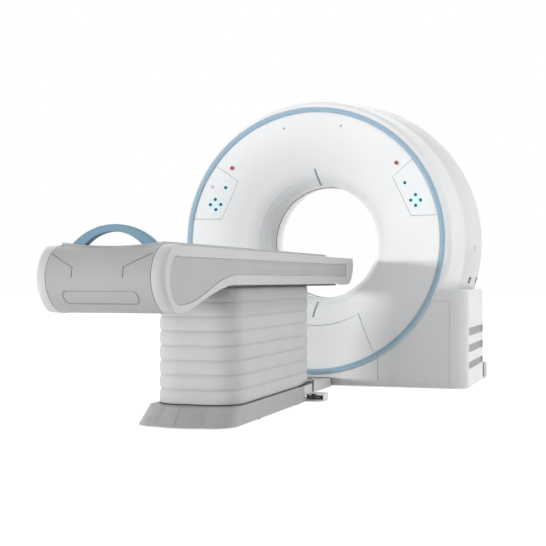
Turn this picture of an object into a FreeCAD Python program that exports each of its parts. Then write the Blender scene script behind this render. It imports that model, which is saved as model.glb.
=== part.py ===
import FreeCAD, Part
import math
import os

V = FreeCAD.Vector
os.makedirs("parts", exist_ok=True)

# ---------------------------------------------------------------- driving dimensions, mm
# Working frame: +Z up, +X across the gantry, +Y along the bore from couch to gantry rear.
# y = 0 is the plane of the blue trim ring, x = 0 the bore axis, z = 0 the floor.

# Gantry body
bore_r = 390.0              # clear radius of the patient opening
ring_in_r = 870.0           # inner radius of the blue trim ring
ring_w = 32.0               # its width, seen from the front
ring_floor = 78.0           # height of the ring's lowest point
ring_seat_y = 5.0           # plane the ring and the fascia sit on
funnel_depth = 300.0        # from the ring to the scan window
window_w = 160.0            # width of the scan window
body_depth = 850.0          # from the ring to the rear face
foot_tail = 160.0           # length of the low foot behind the rear face
lip_swell = 80.0            # growth of the casing from the ring to its crease
crease_y = 400.0            # crease between the front lip and the outer shell
casing_swell = 54.0         # further growth from the crease to the rear rim
foot_reach = 9.0            # how far the side boxes stand out past the casing
corner_x = 109.0            # width of the rounded front corners of the side boxes
box_edge_r = 22.0           # rounded top edge of the side boxes
fascia_top_z = 573.0
box_top_z = 650.0           # top of the side boxes
cover_t = 5.0               # wall of the moulded covers
seam = 1.5                  # open joint between covers
panel_gap = 2.0             # joint round the control panels
toe_gap = 3.0               # joint round the removable lower panel
couch_gap_line = 2.6        # joints between the couch mouldings
seat_gap = 0.3              # clearance where one cover rests on its carrier
floor_gap = 6.0             # covers stay clear of the floor
flare_w = 155.0             # growth of the rear mouth
bore_ring_w = 50.0          # radial width of the ring between the funnel and the scan window
rear_ring_w = 38.0          # the same at the rear
tongue_t = 3.0              # tongues that reach behind the neighbouring cover

# Front panel details
panel_w = 181.0             # radial width of the control panels
panel_deg = (10.2, 37.6)    # their span above the horizontal
toe_seam_x = 457.0          # half width of the removable lower panel at the floor
toe_arc = 188.0             # its upper edge, beyond the bore
stop_stem_r = 8.0
stop_head_r = 13.0
stop_travel = 4.0
key_r = 11.0
louvre_z = ((345.0, 397.0), (236.0, 287.0), (126.0, 173.0))

# Rotor and frame
rail_inset = 265.0          # floor rails, inwards from the sides
rail_low_z = 35.0
rail_h = 60.0
anchor_r = 11.0
foot_screw_r = 12.0
frame_t = 35.0
disc_t = 30.0
rotor_gap = 10.0            # rotor inside the trim ring
roller_r = 12.0
roller_count = 40
race_w = 55.0
running = 0.05              # radial clearance of running fits
tube_can_r = 105.0
tank_half_z = 175.0         # half height of the generator and the cooler, which balance each other
cooler_depth = 289.0
module_depth = 85.0         # readout boxes, deep enough to balance the tube
fan_r = 120.0
fan_shaft_r = 5.0

# Couch, heights below the table edge
table_drop = 110.0          # table edge below the bore axis
table_half_x = 236.0
table_length = 2560.0
table_t = 28.0
shell_t = 53.0              # thickness of the side shells
shell_depth = 182.0         # table edge to the underside of the couch
barrel_depth = 298.0        # table edge to the underside of the foot-end drum
couch_gap = 15.0            # head end of the couch before the ring plane
pivot_back = 885.0          # fixed pivots behind the head end
nose_run = 862.0            # from the end of the straight underside to the foot-end nose
rail_room = 88.0            # guide rails, inwards from the side shells
slide_gap = 0.4             # clearance of the guide blocks on their rails
table_travel = 1830.0

# Lifting scissor
pivot_z = 75.0
upper_pivot_drop = 230.0    # upper pivots below the table edge
arm_length = 1120.0
arm_a_x = 140.0             # middle plane of the outer pair of arms
arm_t = 14.0
arm_half = 32.0
arm_gap = 10.0              # between the two pairs
side_play = 3.0             # beside arms and rollers
pin_r = 12.0
wheel_r = 24.5
wheel_w = 17.0
channel_t = 6.0
bellows_half_x = 228.0
bellows_front_r = 140.0      # corners of the bellows in plan, at the foot end
bellows_rear_r = 90.0
bellows_folds = 8
bellows_draw = 8.0
skirt_top_z = 92.0          # top of the couch foot cover
couch_anchor_r = 9.0
pedal_pin_r = 4.0

# ---------------------------------------------------------------- derived places

ring_out_r = ring_in_r + ring_w
bore_z = ring_out_r + ring_floor
crease_r = ring_out_r + lip_swell
casing_r = crease_r + casing_swell
base_half_x = casing_r + foot_reach
front_half_x = base_half_x - corner_x
window_front_y = funnel_depth
window_rear_y = window_front_y + window_w
scan_y = window_front_y + window_w / 2
base_rear_y = body_depth + foot_tail
rail_x = base_half_x - rail_inset
rail_top_z = rail_low_z + rail_h
rotor_r = ring_in_r - rotor_gap
lip_t = cover_t * 0.7       # thinned edge of the covers round the window

table_z = bore_z - table_drop
shell_in_x = table_half_x + 2.0
couch_half_x = shell_in_x + shell_t
couch_top_z = table_z - 16.0
couch_low_z = table_z - shell_depth
barrel_low_z = table_z - barrel_depth
couch_end_y = -couch_gap
pivot_y = couch_end_y - pivot_back
bellows_y = (pivot_y - arm_length - 105.0, pivot_y + 100.0)
bellows_z = (skirt_top_z + 0.3, couch_low_z - 11.3)
straight_end_y = bellows_y[0] - 165.0
nose_y = straight_end_y - nose_run
table_foot_y = nose_y + 142.0
barrel_top_run = 136.0              # foot-end cover, from its nose to where it stops before the table
table_head_y = table_foot_y + table_length
upper_pivot_z = table_z - upper_pivot_drop
lift_height = upper_pivot_z - pivot_z
arm_b_x = arm_a_x - arm_t - arm_gap
rest_angle = math.degrees(math.asin(lift_height / arm_length))
deck_z = table_z - 46.0             # underside of the deck sheet
guide_z = table_z - 80.0            # foot of the guide rails
plate_z = couch_low_z + 4.0         # underside of the plate over the bellows
guide_x = shell_in_x - rail_room
row_shift_y = -(nose_y + base_rear_y) / 2.0     # brings the middle of the footprint to y = 0

axis_y = V(0, 1, 0)
axis_x = V(1, 0, 0)
axis_z = V(0, 0, 1)
iso = V(0, 0, bore_z)


def lay(share):
    """A radius between the bore and the trim ring."""
    return bore_r + share * (ring_in_r - bore_r)


def back(share):
    """A plane between the scan window and the rear face."""
    return window_rear_y + share * (body_depth - window_rear_y)


disc_y = back(0.1026)               # front face of the rotating disc
frame_y = back(0.41)                # front face of the fixed main frame
bearing_y = (frame_y - 20.0, frame_y - 20.0 + race_w)
hub_end_y = back(0.651)
hub_in_r = lay(0.125)
hub_out_r = lay(0.1875)
track_r = lay(0.3125)               # pitch radius of the main bearing
seat_r = lay(0.4375)                # opening of the main frame
magnet_r = lay(0.705)               # outside of the rotor's magnets
tube_pos = rotor_r - 55.0 - tube_can_r
focus_r = tube_pos - 80.0           # focal spot above the bore axis
detector_r = focus_r + bore_r + 50.0


# ---------------------------------------------------------------- helpers

def save(name, *solids):
    """Writes one node, moved to the row frame."""
    shape = solids[0] if len(solids) == 1 else Part.makeCompound(list(solids))
    shape = shape.copy()
    shape.translate(V(0, row_shift_y, 0))
    shape.exportStep("parts/" + name + ".step")


def box(x, y, z):
    """A block between pairs of limits."""
    size = [b - a for a, b in (x, y, z)]
    return Part.makeBox(size[0], size[1], size[2], V(x[0], y[0], z[0]))


def rod(start, direction, length, radius):
    return Part.makeCylinder(radius, length, start, direction)


def tube(start, direction, length, outer, inner):
    return rod(start, direction, length, outer).cut(rod(start, direction, length, inner))


def wire(place, start, *steps):
    """A closed outline. A step is a point, or (via, end) for an arc, or [points] for a smooth curve."""
    edges = []
    at = start
    for step in list(steps) + [start]:
        if isinstance(step, list):
            curve = Part.BSplineCurve()
            curve.interpolate([place(*at)] + [place(*q) for q in step])
            edges.append(curve.toShape())
            at = step[-1]
        elif isinstance(step[0], tuple):
            edges.append(Part.Arc(place(*at), place(*step[0]), place(*step[1])).toShape())
            at = step[1]
        elif math.dist(at, step) > 1e-6:
            edges.append(Part.LineSegment(place(*at), place(*step)).toShape())
            at = step
    return Part.Wire(edges)


def prism_x(outline, x0, x1):
    """An outline in (y, z) extruded from x0 to x1."""
    face = Part.Face(wire(lambda y, z: V(x0, y, z), *outline))
    return face.extrude(V(x1 - x0, 0, 0))


def prism_y(outline, y0, y1):
    """An outline in (x, z) extruded from y0 to y1."""
    face = Part.Face(wire(lambda x, z: V(x, y0, z), *outline))
    return face.extrude(V(0, y1 - y0, 0))


def prism_z(outline, z0, z1):
    """An outline in (x, y) extruded from z0 to z1."""
    face = Part.Face(wire(lambda x, y: V(x, y, z0), *outline))
    return face.extrude(V(0, 0, z1 - z0))


def spin(outline):
    """An outline in (radius, y) turned about the bore axis."""
    face = Part.Face(wire(lambda r, y: V(r, y, bore_z), *outline))
    return face.revolve(iso, axis_y, 360)


def fuse(shapes):
    body = shapes[0]
    if len(shapes) > 1:
        body = body.fuse(shapes[1:])
    return body.removeSplitter()


def mirror_x(shape):
    return shape.mirror(V(0, 0, 0), axis_x)


def both(shape):
    """The right-hand piece and its left-hand mirror."""
    return shape, mirror_x(shape)


def around(shape, count, first=0.0, step=None):
    """Copies of a shape turned about the bore axis."""
    step = 360.0 / count if step is None else step
    out = []
    for i in range(count):
        piece = shape.copy()
        piece.rotate(iso, axis_y, first + i * step)
        out.append(piece)
    return out


def rounded_rect(x, y, r):
    """A rounded rectangle outline between two pairs of limits."""
    (x0, x1), (y0, y1) = x, y
    k = r * (1 - math.sqrt(0.5))
    return ((x0 + r, y0), (x1 - r, y0), ((x1 - k, y0 + k), (x1, y0 + r)),
            (x1, y1 - r), ((x1 - k, y1 - k), (x1 - r, y1)),
            (x0 + r, y1), ((x0 + k, y1 - k), (x0, y1 - r)),
            (x0, y0 + r), ((x0 + k, y0 + k), (x0 + r, y0)))


def ring_at(radius, y0, y1):
    """A disc on the bore axis."""
    return rod(V(0, y0, bore_z), axis_y, y1 - y0, radius)


# ---------------------------------------------------------------- front funnel geometry

# Two arcs carry the funnel from the trim ring to the scan window: (radius, y) points.
funnel_a = ((ring_in_r - 2.0, 2.0), (lay(0.646), funnel_depth * 0.167), (lay(0.302), funnel_depth * 0.467))
funnel_b = (funnel_a[2], (lay(0.104), funnel_depth * 0.727), (bore_r, funnel_depth + 4.0))


def circle_through(a, b, c):
    """Centre and radius of the circle through three points."""
    ax, ay = b[0] - a[0], b[1] - a[1]
    bx, by = c[0] - a[0], c[1] - a[1]
    d = 2 * (ax * by - ay * bx)
    ux = (by * (ax * ax + ay * ay) - ay * (bx * bx + by * by)) / d
    uy = (ax * (bx * bx + by * by) - bx * (ax * ax + ay * ay)) / d
    return a[0] + ux, a[1] + uy, math.hypot(ux, uy)


def funnel_point(x, z):
    """The point of the funnel's face seen at (x, z) from the front, and its outward normal."""
    r = math.hypot(x, z - bore_z)
    arc = funnel_a if r > funnel_a[2][0] else funnel_b
    cr, cy, radius = circle_through(*arc)
    side = 1.0 if arc[1][1] > cy else -1.0
    y = cy + side * math.sqrt(radius ** 2 - (r - cr) ** 2)
    nr, ny = (r - cr) / radius, (y - cy) / radius
    if ny > 0:
        nr, ny = -nr, -ny
    return V(x, y, z), V(nr * x / r, ny, nr * (z - bore_z) / r)


def under(radius, depth):
    """The (radius, y) of a point that far behind the funnel's face."""
    point, normal = funnel_point(radius, bore_z)
    return radius - normal.x * depth, point.y - normal.y * depth


def on_face(offset, degrees):
    """Front-view (x, z) of a point that far inside the trim ring."""
    r = ring_in_r - offset
    a = math.radians(degrees)
    return r * math.cos(a), bore_z + r * math.sin(a)


def front_profile():
    """Section of the front moulding: funnel, seat of the trim ring and the rolled lip."""
    t, c = cover_t, crease_y
    seat = ring_seat_y + 1.4 * t
    end = bore_r + bore_ring_w + seam / 2
    turn = funnel_b[0][0]
    return (funnel_a[0], funnel_a[1:], (under((turn + end) / 2, 0), under(end, 0)), under(end, t),
            under(end + 16, t), under((turn + end) / 2, t), under(turn, t),
            under((turn + funnel_a[1][0]) / 2, t), under(funnel_a[1][0], t),
            (ring_in_r - 6, seat), (ring_out_r - 2, seat), (ring_out_r + 41 - t, 0.155 * c),
            (crease_r - 25 - t, 0.28 * c), (crease_r - t, c),
            (crease_r, c), ((crease_r - 14, 0.525 * c), (crease_r - 32, 0.2 * c)),
            ((ring_out_r + 30, 0.055 * c), (ring_out_r + 4, 0)),
            (ring_out_r + 4, ring_seat_y), (ring_in_r - 2, ring_seat_y))


front_skin = spin(front_profile())


# ---------------------------------------------------------------- gantry covers

def panel_outline(gap):
    """The right-hand control panel, seen from the front: a radial upper side and a level lower side."""
    inner = panel_w - gap
    low, high = panel_deg
    a = on_face(inner, high - gap * 0.08)
    b = on_face(-20, high - gap * 0.08)
    m = on_face(-20, (low + high) / 2)
    c = on_face(-20, low + gap * 0.08)
    r = ring_in_r - inner
    d = (math.sqrt(r * r - (c[1] - bore_z) ** 2), c[1])
    return (a, b, (m, c), d)


def toe_outline(gap):
    """The removable lower panel, seen from the front. Its seams run down to the floor."""
    r = bore_r + toe_arc
    top_x = 0.52 * r - gap
    top_z = bore_z - math.sqrt(r * r - (0.52 * r) ** 2) - gap
    side_x = toe_seam_x - gap
    bend_z = bore_z - math.sqrt((ring_out_r + 21) ** 2 - toe_seam_x ** 2)
    return ((-top_x, top_z), ((0, bore_z - r - gap), (top_x, top_z)), (side_x, bend_z), (side_x, 0),
            (-side_x, 0), (-side_x, bend_z))


def slot_outlines(gap):
    """The two windows of the positioning light, above and below the bore."""
    high, low = bore_z + bore_r, bore_z - bore_r
    upper = ((-17 + gap, high + 6 + gap), (-gap, high + 6 + gap), (-14 - gap, high + 112 - gap),
             (-30 + gap, high + 112 - gap))
    lower = ((-27 + gap, low - 30 - gap), (-38 + gap, low - 135 + gap), (-24 - gap, low - 135 + gap),
             (-13 - gap, low - 30 - gap))
    return upper, lower


stop_right = on_face(96, 41.4)
key_spots = [on_face(133, 30.8), on_face(104, 22.7), on_face(149, 21.2), on_face(85, 19.3),
             on_face(129, 17.7)]
extra_key = on_face(53, 27.9)
lamp_spot = on_face(74, 75.4)

panel_limit = ring_at(ring_in_r - 3.5, -40, 320)
panel_room = prism_y(panel_outline(0), -40, 320).common(panel_limit)
slot_room = [prism_y(s, 40, funnel_depth + 30) for s in slot_outlines(0)]
toe_room = prism_y(toe_outline(0), -60, 500)


def stop_hole(x, z):
    point, normal = funnel_point(x, z)
    return rod(point - normal * 40, normal, 80, stop_stem_r + 0.5)


def front_bore_ring():
    """Ring round the scan window, with a tongue behind the funnel and a seat for the window."""
    d, t = funnel_depth, cover_t
    end = bore_r + bore_ring_w - seam / 2
    mid = bore_r + bore_ring_w * 0.45
    deep = t + seat_gap
    return spin((under(end, 0), (under(mid, 0), funnel_b[2]), (bore_r + lip_t, d + 4), (bore_r + lip_t, d - 1),
                 (bore_r + lip_t + 8.5, d - 1), (bore_r + lip_t + 8.5, d - 8), under(mid, t),
                 under(end - 8, t),
                 under(end - 8, deep + tongue_t), under(end + 13, deep + tongue_t), under(end + 13, deep),
                 under(end, deep))).cut(Part.makeCompound(slot_room))


def seam_cuts():
    """Two upright cuts that part the ring and the fascia beside the lower panel."""
    w = toe_gap / 2
    return Part.makeCompound([box(sorted((s * (toe_seam_x - w), s * (toe_seam_x + w))), (-40, 40), (0, 400))
                              for s in (-1, 1)])


def front_cover():
    """Funnel, seat of the trim ring and the rolled outer lip, as one moulding."""
    half = base_half_x + 100
    below = box((-half, half), (-60, crease_y + 90), (-50, fascia_top_z + 2))
    below = below.cut(ring_at(ring_out_r + 4, -60, crease_y + 90))
    cuts = [panel_room, mirror_x(panel_room), toe_room] + slot_room
    cuts += both(stop_hole(*stop_right))
    return front_skin.cut(below).cut(Part.makeCompound(cuts))


def panel_keys():
    """Low sealed keys standing in the two control panels."""
    keys = []
    for x, z in key_spots:
        point, normal = funnel_point(x, z)
        keys += both(rod(point - normal * 2, normal, 3.6, key_r))
    point, normal = funnel_point(-extra_key[0], extra_key[1])
    return keys + [rod(point - normal * 2, normal, 3.6, key_r)]


def control_panels(keys):
    """Panels let into the funnel, with a seat for each key."""
    skin = front_skin.common(ring_at(ring_in_r - 4.3, -60, 330))
    right = skin.common(prism_y(panel_outline(panel_gap), -40, 320))
    return [p.cut(keys) for p in both(right)]


def light_windows():
    """Curved strips in the funnel's two slots and a pair of small lamps."""
    t, low, high = cover_t, bore_r + 4, funnel_b[0][0]
    mid = (low + high) / 2
    skin = spin((under(low, 0), (under(mid, 0), under(high, 0)), under(high, t), under((mid + high) / 2, t),
                 under(mid, t),
                 under((low + mid) / 2, t), under(low, t)))
    pieces = [skin.common(prism_y(s, 40, funnel_depth + 30)) for s in slot_outlines(0.4)]
    point, normal = funnel_point(*lamp_spot)
    return pieces + list(both(rod(point, normal, 1.2, 7.0)))


def stop_button():
    """A mushroom button on its stem, pressed along the cover's normal."""
    point, normal = funnel_point(*stop_right)
    lift = stop_travel + 2.0
    head = rod(point + normal * lift, normal, 4.5, stop_head_r)
    crown = Part.makeCone(stop_head_r, stop_head_r - 3, 2.5, point + normal * (lift + 4.5), normal)
    return fuse([head, crown, rod(point - normal * 18, normal, 19 + lift, stop_stem_r)])


def lower_front_panel():
    body = front_skin.common(ring_at(ring_out_r + 3, -60, 500))
    return body.common(prism_y(toe_outline(toe_gap), -60, 500))


def blue_trim_ring():
    """Rounded trim ring, parted where the lower panel comes away."""
    y = ring_seat_y
    crest = (ring_in_r + ring_w / 2, y - 18)
    ring = spin(((ring_in_r, y), (ring_in_r, y - 10), (crest, (ring_out_r, y - 10)), (ring_out_r, y)))
    return ring.cut(seam_cuts()).Solids


def fascia_panels():
    """Flat grey front of the foot, in three pieces round the ring."""
    x, y = front_half_x - seam, ring_seat_y
    plate = prism_y(((-x, floor_gap), (x, floor_gap), (x, fascia_top_z), (-x, fascia_top_z)), y, y + cover_t)
    return plate.cut(ring_at(ring_out_r + 6, -20, 30)).cut(seam_cuts()).Solids


def body_core(gap):
    """The space taken by the round body, with a gap round it."""
    c, g = crease_y, gap
    r = ring_out_r + 5 + g
    span = body_depth - 32 - c
    return spin(((0, -60), (r, -60), (r, 0), ((ring_out_r + 32 + g, 0.055 * c), (crease_r - 31 + g, 0.2 * c)),
                 ((crease_r - 13 + g, 0.525 * c), (crease_r + 1 + g, c)),
                 ((crease_r + 30 + g, c + 0.383 * span), (crease_r + 52 + g, c + 0.766 * span)),
                 (casing_r + g, body_depth - 29), ((casing_r - 6 + 0.8 * g, body_depth - 9 + 0.8 * g),
                                                   (casing_r - 31 + g, body_depth + g)),
                 (casing_r - 31 + g, body_depth + 10), (0, body_depth + 10)))


def outer_shell():
    """The arched casing. A tongue at its front lies under the lip, its ends stand in the side boxes."""
    t, c, g = cover_t, crease_y, seat_gap
    end = body_depth - 32
    span = end - c
    slope = 25.0 / (0.72 * c)       # of the lip's inner face
    lip_in = crease_r - t - g
    y0 = c + seam
    shell = spin(((crease_r, y0), ((crease_r + 29, c + 0.383 * span), (crease_r + 51, c + 0.766 * span)),
                  (casing_r - 1, end), (casing_r - 1 - t, end), (crease_r + 51 - t, c + 0.766 * span),
                  (lip_in - t, y0 + 4), (lip_in - t, c - 16), (lip_in - 16 * slope, c - 16),
                  (lip_in, c), (lip_in, y0)))
    half = base_half_x + 100
    shell = shell.cut(box((-half, half), (c - 100, body_depth + 50), (-90, box_top_z - 8)))
    eyes = []
    for y in (c + 200, end - 18):
        eyes += both(rod(V(casing_r - 190, y, box_top_z + 61), axis_x, 250, 9))
    return shell.cut(Part.makeCompound(eyes))


def side_plan(inset, inner_x):
    """Plan of the right-hand side box: rounded front corner, straight side, rounded rear."""
    x1, y0, y1 = base_half_x - inset, ring_seat_y + inset, body_depth - inset
    r = corner_x - 5.0 - inset
    k = r * (1 - math.sqrt(0.5))
    rear = 34.0 - inset
    kr = rear * (1 - math.sqrt(0.5))
    return ((inner_x, y0), (x1 - r, y0), ((x1 - k, y0 + k), (x1, y0 + r)),
            (x1, y1 - rear), ((x1 - kr, y1 - kr), (x1 - rear, y1)), (inner_x, y1))


louvre_y = (ring_seat_y + corner_x - 5.0, body_depth - 38.0)
grille_x = base_half_x - cover_t - seat_gap - 3.7     # face of the grilles' slats


def rounded_top(plan, z0, z1, inner_x, radius):
    """A plan extruded upwards, its top edge rounded all along except at the inner end."""
    body = prism_z(plan, z0, z1)
    rims = [e for e in body.Edges if e.BoundBox.ZMin > z1 - 1 and e.BoundBox.XMax > inner_x + 1]
    return body.makeFillet(radius, rims)


def side_covers():
    """Side boxes: rounded corner and top, three grille openings and a flange behind the fascia."""
    t = cover_t
    inner_x = front_half_x - 136
    outer = rounded_top(side_plan(0, inner_x), floor_gap, box_top_z, inner_x, box_edge_r)
    inner = rounded_top(side_plan(t, inner_x - 1), floor_gap - 1, box_top_z - t, inner_x - 1, box_edge_r - t)
    shell = outer.cut(inner)
    cuts = [body_core(seam),
            box((inner_x - 50, front_half_x), (0, ring_seat_y + t + seat_gap), (0, fascia_top_z + seam)),
            box((inner_x - 50, base_half_x - 37), (body_depth - box_edge_r - 2, body_depth + 5),
                (0, box_top_z - box_edge_r - 2))]
    cuts += [box((base_half_x - 25, base_half_x + 15), louvre_y, z) for z in louvre_z]
    right = max(shell.cut(Part.makeCompound(cuts)).Solids, key=lambda s: s.Volume)
    y = ring_seat_y + t
    flange = prism_z(((front_half_x - 24, y + seat_gap), (front_half_x, y + seat_gap), (front_half_x, y - 1),
                      (front_half_x + 14, y - 1), (front_half_x + 14, y + t), (front_half_x - 24, y + t)),
                     floor_gap, fascia_top_z)
    return both(fuse([right, flange]))


def side_grilles():
    """Slatted grilles behind the three openings of each side box."""
    grilles = []
    slats = 5
    x = grille_x
    y0, y1 = louvre_y
    for z0, z1 in louvre_z:
        frame = box((x - 5, x + 3.7), (y0 - 8, y1 + 8), (z0 - 6, z1 + 6))
        frame = frame.cut(box((x - 50, x + 50), (y0 + 4, y1 - 4), (z0 + 3, z1 - 3)))
        parts = [frame]
        pitch = (z1 - z0 - 6) / slats
        for i in range(slats):
            low = z0 + 3 + i * pitch
            slat = ((x, low), (x + 3, low), (x - 2, low + pitch), (x - 5, low + pitch))
            parts.append(prism_y(slat, y0 + 4, y1 - 4))
        grilles.append(fuse(parts))
    return grilles + [mirror_x(g) for g in grilles]


def rear_bore_ring():
    """Ring from the scan window to the rear mouth, with a tongue behind the mouth's edge."""
    t, w, r = cover_t, window_rear_y, bore_r + rear_ring_w
    throat, end = w + 0.55 * (hub_end_y - w), hub_end_y + 1.0 - seam
    back_t = t + 0.6 + tongue_t
    return spin(((bore_r, w - 4), ((bore_r + 0.37 * rear_ring_w, throat), (r, end)), (r + t + 0.6, end),
                 (r + t + 4.6, end + seam + 10), (r + back_t + 4, end + seam + 10), (r + back_t, end - 2), (r + t, end - 8),
                 (bore_r + 0.37 * rear_ring_w + t, throat), (bore_r + lip_t + 8.5, w + 9), (bore_r + lip_t + 8.5, w + 1),
                 (bore_r + lip_t, w + 1), (bore_r + lip_t, w - 4)))


def rear_cover():
    """Rear face with its own flared mouth, a rolled rim and vent slots low on both sides."""
    t, d, r = cover_t, body_depth, bore_r + rear_ring_w
    out_r = bore_r + flare_w
    knee, swell = hub_end_y + 1.0, d - 0.4 * (d - hub_end_y)
    bend = r + 0.34 * (out_r - r)
    disc = spin(((casing_r, d - 30.5), (casing_r, d - 29), ((casing_r - 6, d - 9), (casing_r - 31, d)), (out_r, d),
                 ((bend, swell), (r, knee)), (r + t, knee),
                 ((bend + t, swell - t), (out_r + 3, d - t)), (casing_r - 33, d - t),
                 (casing_r - 7 - t, d - 30), (casing_r - 2 - t, d - 46),
                 (casing_r - 1.4 - t - seat_gap, d - 46), (casing_r - 1.1 - t - seat_gap, d - 30.5)))
    half = base_half_x + 100
    plate_low = rail_top_z + seat_gap
    shoulder = box_top_z - box_edge_r - 2 - seam
    disc = disc.cut(box((-half, half), (d - 100, d + 50), (-60, shoulder - 6)).cut(ring_at(casing_r - 36, d - 110, d + 60)))
    x = base_half_x - 37 - seam
    plate = box((-x, x), (d - t, d), (plate_low, shoulder))
    plate = plate.cut(ring_at(casing_r - 37, d - 110, d + 60))
    body = disc.cut(box((-half, half), (d - 100, d + 50), (-60, plate_low))).fuse(plate)
    slots = []
    for i in range(8):
        z = 250 + 30 * i
        slots += both(box((x - 208, x - 68), (d - 20, d + 20), (z, z + 12)))
    return body.cut(Part.makeCompound(slots)).removeSplitter()


def rear_base_cover():
    """Low cover over the part of the floor frame that stands out behind the body."""
    half, y0, y1, t = base_half_x + 5, body_depth + seam, base_rear_y, cover_t
    top = rail_top_z + 25.0
    outer = prism_x(((y0, floor_gap), (y1, floor_gap), (y1, top - 20), ((y1 - 6, top - 8), (y1 - 18, top - 4)),
                     (y0, top)), -half, half)
    inner = prism_x(((y0 - 9, floor_gap - 9), (y1 - t, floor_gap - 9), (y1 - t, top - 20), (y1 - 20, top - 4 - t),
                     (y0 - 9, top - t)), -half + t, half - t)
    return outer.cut(inner)


def scan_window():
    inner = bore_r + lip_t + seat_gap
    return tube(V(0, window_front_y, bore_z), axis_y, window_w, inner + 3.5, inner)


# ---------------------------------------------------------------- gantry frame

foot_places = [(s * rail_x, y) for s in (-1, 1) for y in (200, body_depth + 60)]
anchor_places = [(s * rail_x, y) for s in (-1, 1) for y in (100, base_rear_y - 50)]


def base_frame():
    """Welded floor frame of box section: two long rails and three cross rails."""
    z = (rail_low_z, rail_top_z)
    body = prism_z(rounded_rect((-rail_x - 80, rail_x + 80), (50, base_rear_y - cover_t - seat_gap), 30), *z)
    mid = (frame_y - 60, frame_y + 80)
    holes = [box((-rail_x + 80, rail_x - 80), (150, mid[0]), (0, 120)),
             box((-rail_x + 80, rail_x - 80), (mid[1], base_rear_y - 120), (0, 120))]
    holes += both(box((rail_x - 70, rail_x + 70), (250, body_depth), (z[0] + 6, z[1] - 6)))
    holes += [rod(V(x, y, 0), axis_z, 120, anchor_r) for x, y in anchor_places]
    holes += [rod(V(x, y, 0), axis_z, 120, foot_screw_r + 0.2) for x, y in foot_places]
    clips = list(both(box((260, 300), (ring_seat_y + cover_t + seat_gap, 52), (rail_low_z, rail_low_z + 24))))
    side = (rail_x + 78, base_half_x - cover_t - seat_gap)
    for y in (230, body_depth - 190):
        clips += both(box(side, (y, y + 40), (rail_low_z, rail_low_z + 24)))
    return fuse([body.cut(Part.makeCompound(holes))] + clips)


def leveling_feet():
    """Screwed feet under the rails, each with its pad and lock nut."""
    feet = []
    for x, y in foot_places:
        pad = Part.makeCone(46, 34, 12, V(x, y, 0))
        stem = rod(V(x, y, 12), axis_z, rail_top_z + 3, foot_screw_r)
        corners = [V(x + 20 * math.cos(math.radians(60 * i)), y + 20 * math.sin(math.radians(60 * i)), rail_top_z)
                   for i in range(7)]
        nut = Part.Face(Part.makePolygon(corners)).extrude(V(0, 0, 12))
        feet.append(fuse([pad, stem, nut]))
    return feet


def main_frame():
    """Upright plate that carries the main bearing, with a rim, feet, gussets and the front cover's posts."""
    y0, y1, z0 = frame_y, frame_y + frame_t, rail_top_z
    out_r, leg_x = ring_out_r - 2, rail_x + 80
    plate = fuse([ring_at(out_r, y0, y1), box((-leg_x, leg_x), (y0, y1), (z0, bore_z))])
    rim = tube(V(0, y1, bore_z), axis_y, 22, out_r, out_r - 18)
    rim = rim.common(box((-out_r, out_r), (y0, y1 + 30), (bore_z, bore_z + out_r + 10)))
    parts = [plate, rim]
    for s in (-1, 1):
        edge = sorted((s * (leg_x - 12), s * leg_x))
        parts.append(box(sorted((s * (rail_x - 70), s * leg_x)), (y0 - 60, y1 + 80), (z0, z0 + 18)))
        parts.append(prism_x(((y1, z0 + 18), (y1 + 78, z0 + 18), (y1, z0 + 525)), *edge))
        parts.append(prism_x(((y0, z0 + 18), (y0 - 58, z0 + 18), (y0, z0 + 325)), *edge))
    post = box((-20, 20), (ring_seat_y + 1.4 * cover_t + seat_gap, y0), (bore_z + rotor_r + 14, bore_z + out_r - 2))
    parts += around(post, 3, first=20, step=45) + around(post, 3, first=-20, step=-45)
    body = fuse(parts)
    low = box((-out_r, out_r), (y0 - 100, y1 + 100), (-200, z0))
    holes = [low, ring_at(seat_r, y0 - 100, y1 + 100)]
    holes += both(rod(V(rail_x - 40, y0 - 100, z0 + 165), axis_y, 300, 90))
    holes += around(rod(V(0, y0 - 100, bore_z + (magnet_r + out_r) / 2 + 4), axis_y, 300, 45), 7, first=-90, step=30)
    return body.cut(Part.makeCompound(holes))


def bearing_outer():
    """Outer race, its flange seated on the front of the main frame."""
    r_in, (y0, y1) = track_r + roller_r, bearing_y
    return spin(((r_in, y0), (seat_r + 30, y0), (seat_r + 30, frame_y), (seat_r - 0.2, frame_y), (seat_r - 0.2, y1),
                 (r_in, y1)))


def bearing_inner():
    y0, y1 = bearing_y
    return spin(((hub_out_r + 0.1, y0), (track_r - roller_r, y0), (track_r - roller_r, y1), (hub_out_r + 0.1, y1)))


def bearing_rollers():
    """Rollers between the races, with the two rings of their cage."""
    y0, y1 = bearing_y
    roller = rod(V(0, y0 + 6, bore_z + track_r), axis_y, race_w - 12, roller_r - running)
    cage = [spin(((track_r - 6, y), (track_r + 6, y), (track_r + 6, y + 3.5), (track_r - 6, y + 3.5)))
            for y in (y0 + 2.5, y1 - 6)]
    return around(roller, roller_count) + cage


def motor_stator():
    """Coil ring of the direct drive, bolted to the main frame."""
    r, y0 = magnet_r + 1.5, disc_y + disc_t + 30
    ring = spin(((r + 18, y0), (r + 42, y0), (r + 42, frame_y), (r + 18, frame_y)))
    tooth = spin(((r, y0 + 6), (r + 18.5, y0 + 6), (r + 18.5, frame_y - 8), (r, frame_y - 8)))
    half = math.pi * r / 36 * 0.5
    wedge = prism_y(((-half, bore_z + r - 10), (half, bore_z + r - 10), (half, bore_z + r + 30), (-half, bore_z + r + 30)),
                    y0, frame_y)
    return ring.fuse(tooth.common(Part.makeCompound(around(wedge, 36))))


def motor_magnets():
    y0, r = disc_y + disc_t, magnet_r
    return spin(((r - 14.5, y0), (r, y0), (r, frame_y - 8), (r - 14.5, frame_y - 8)))


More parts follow.
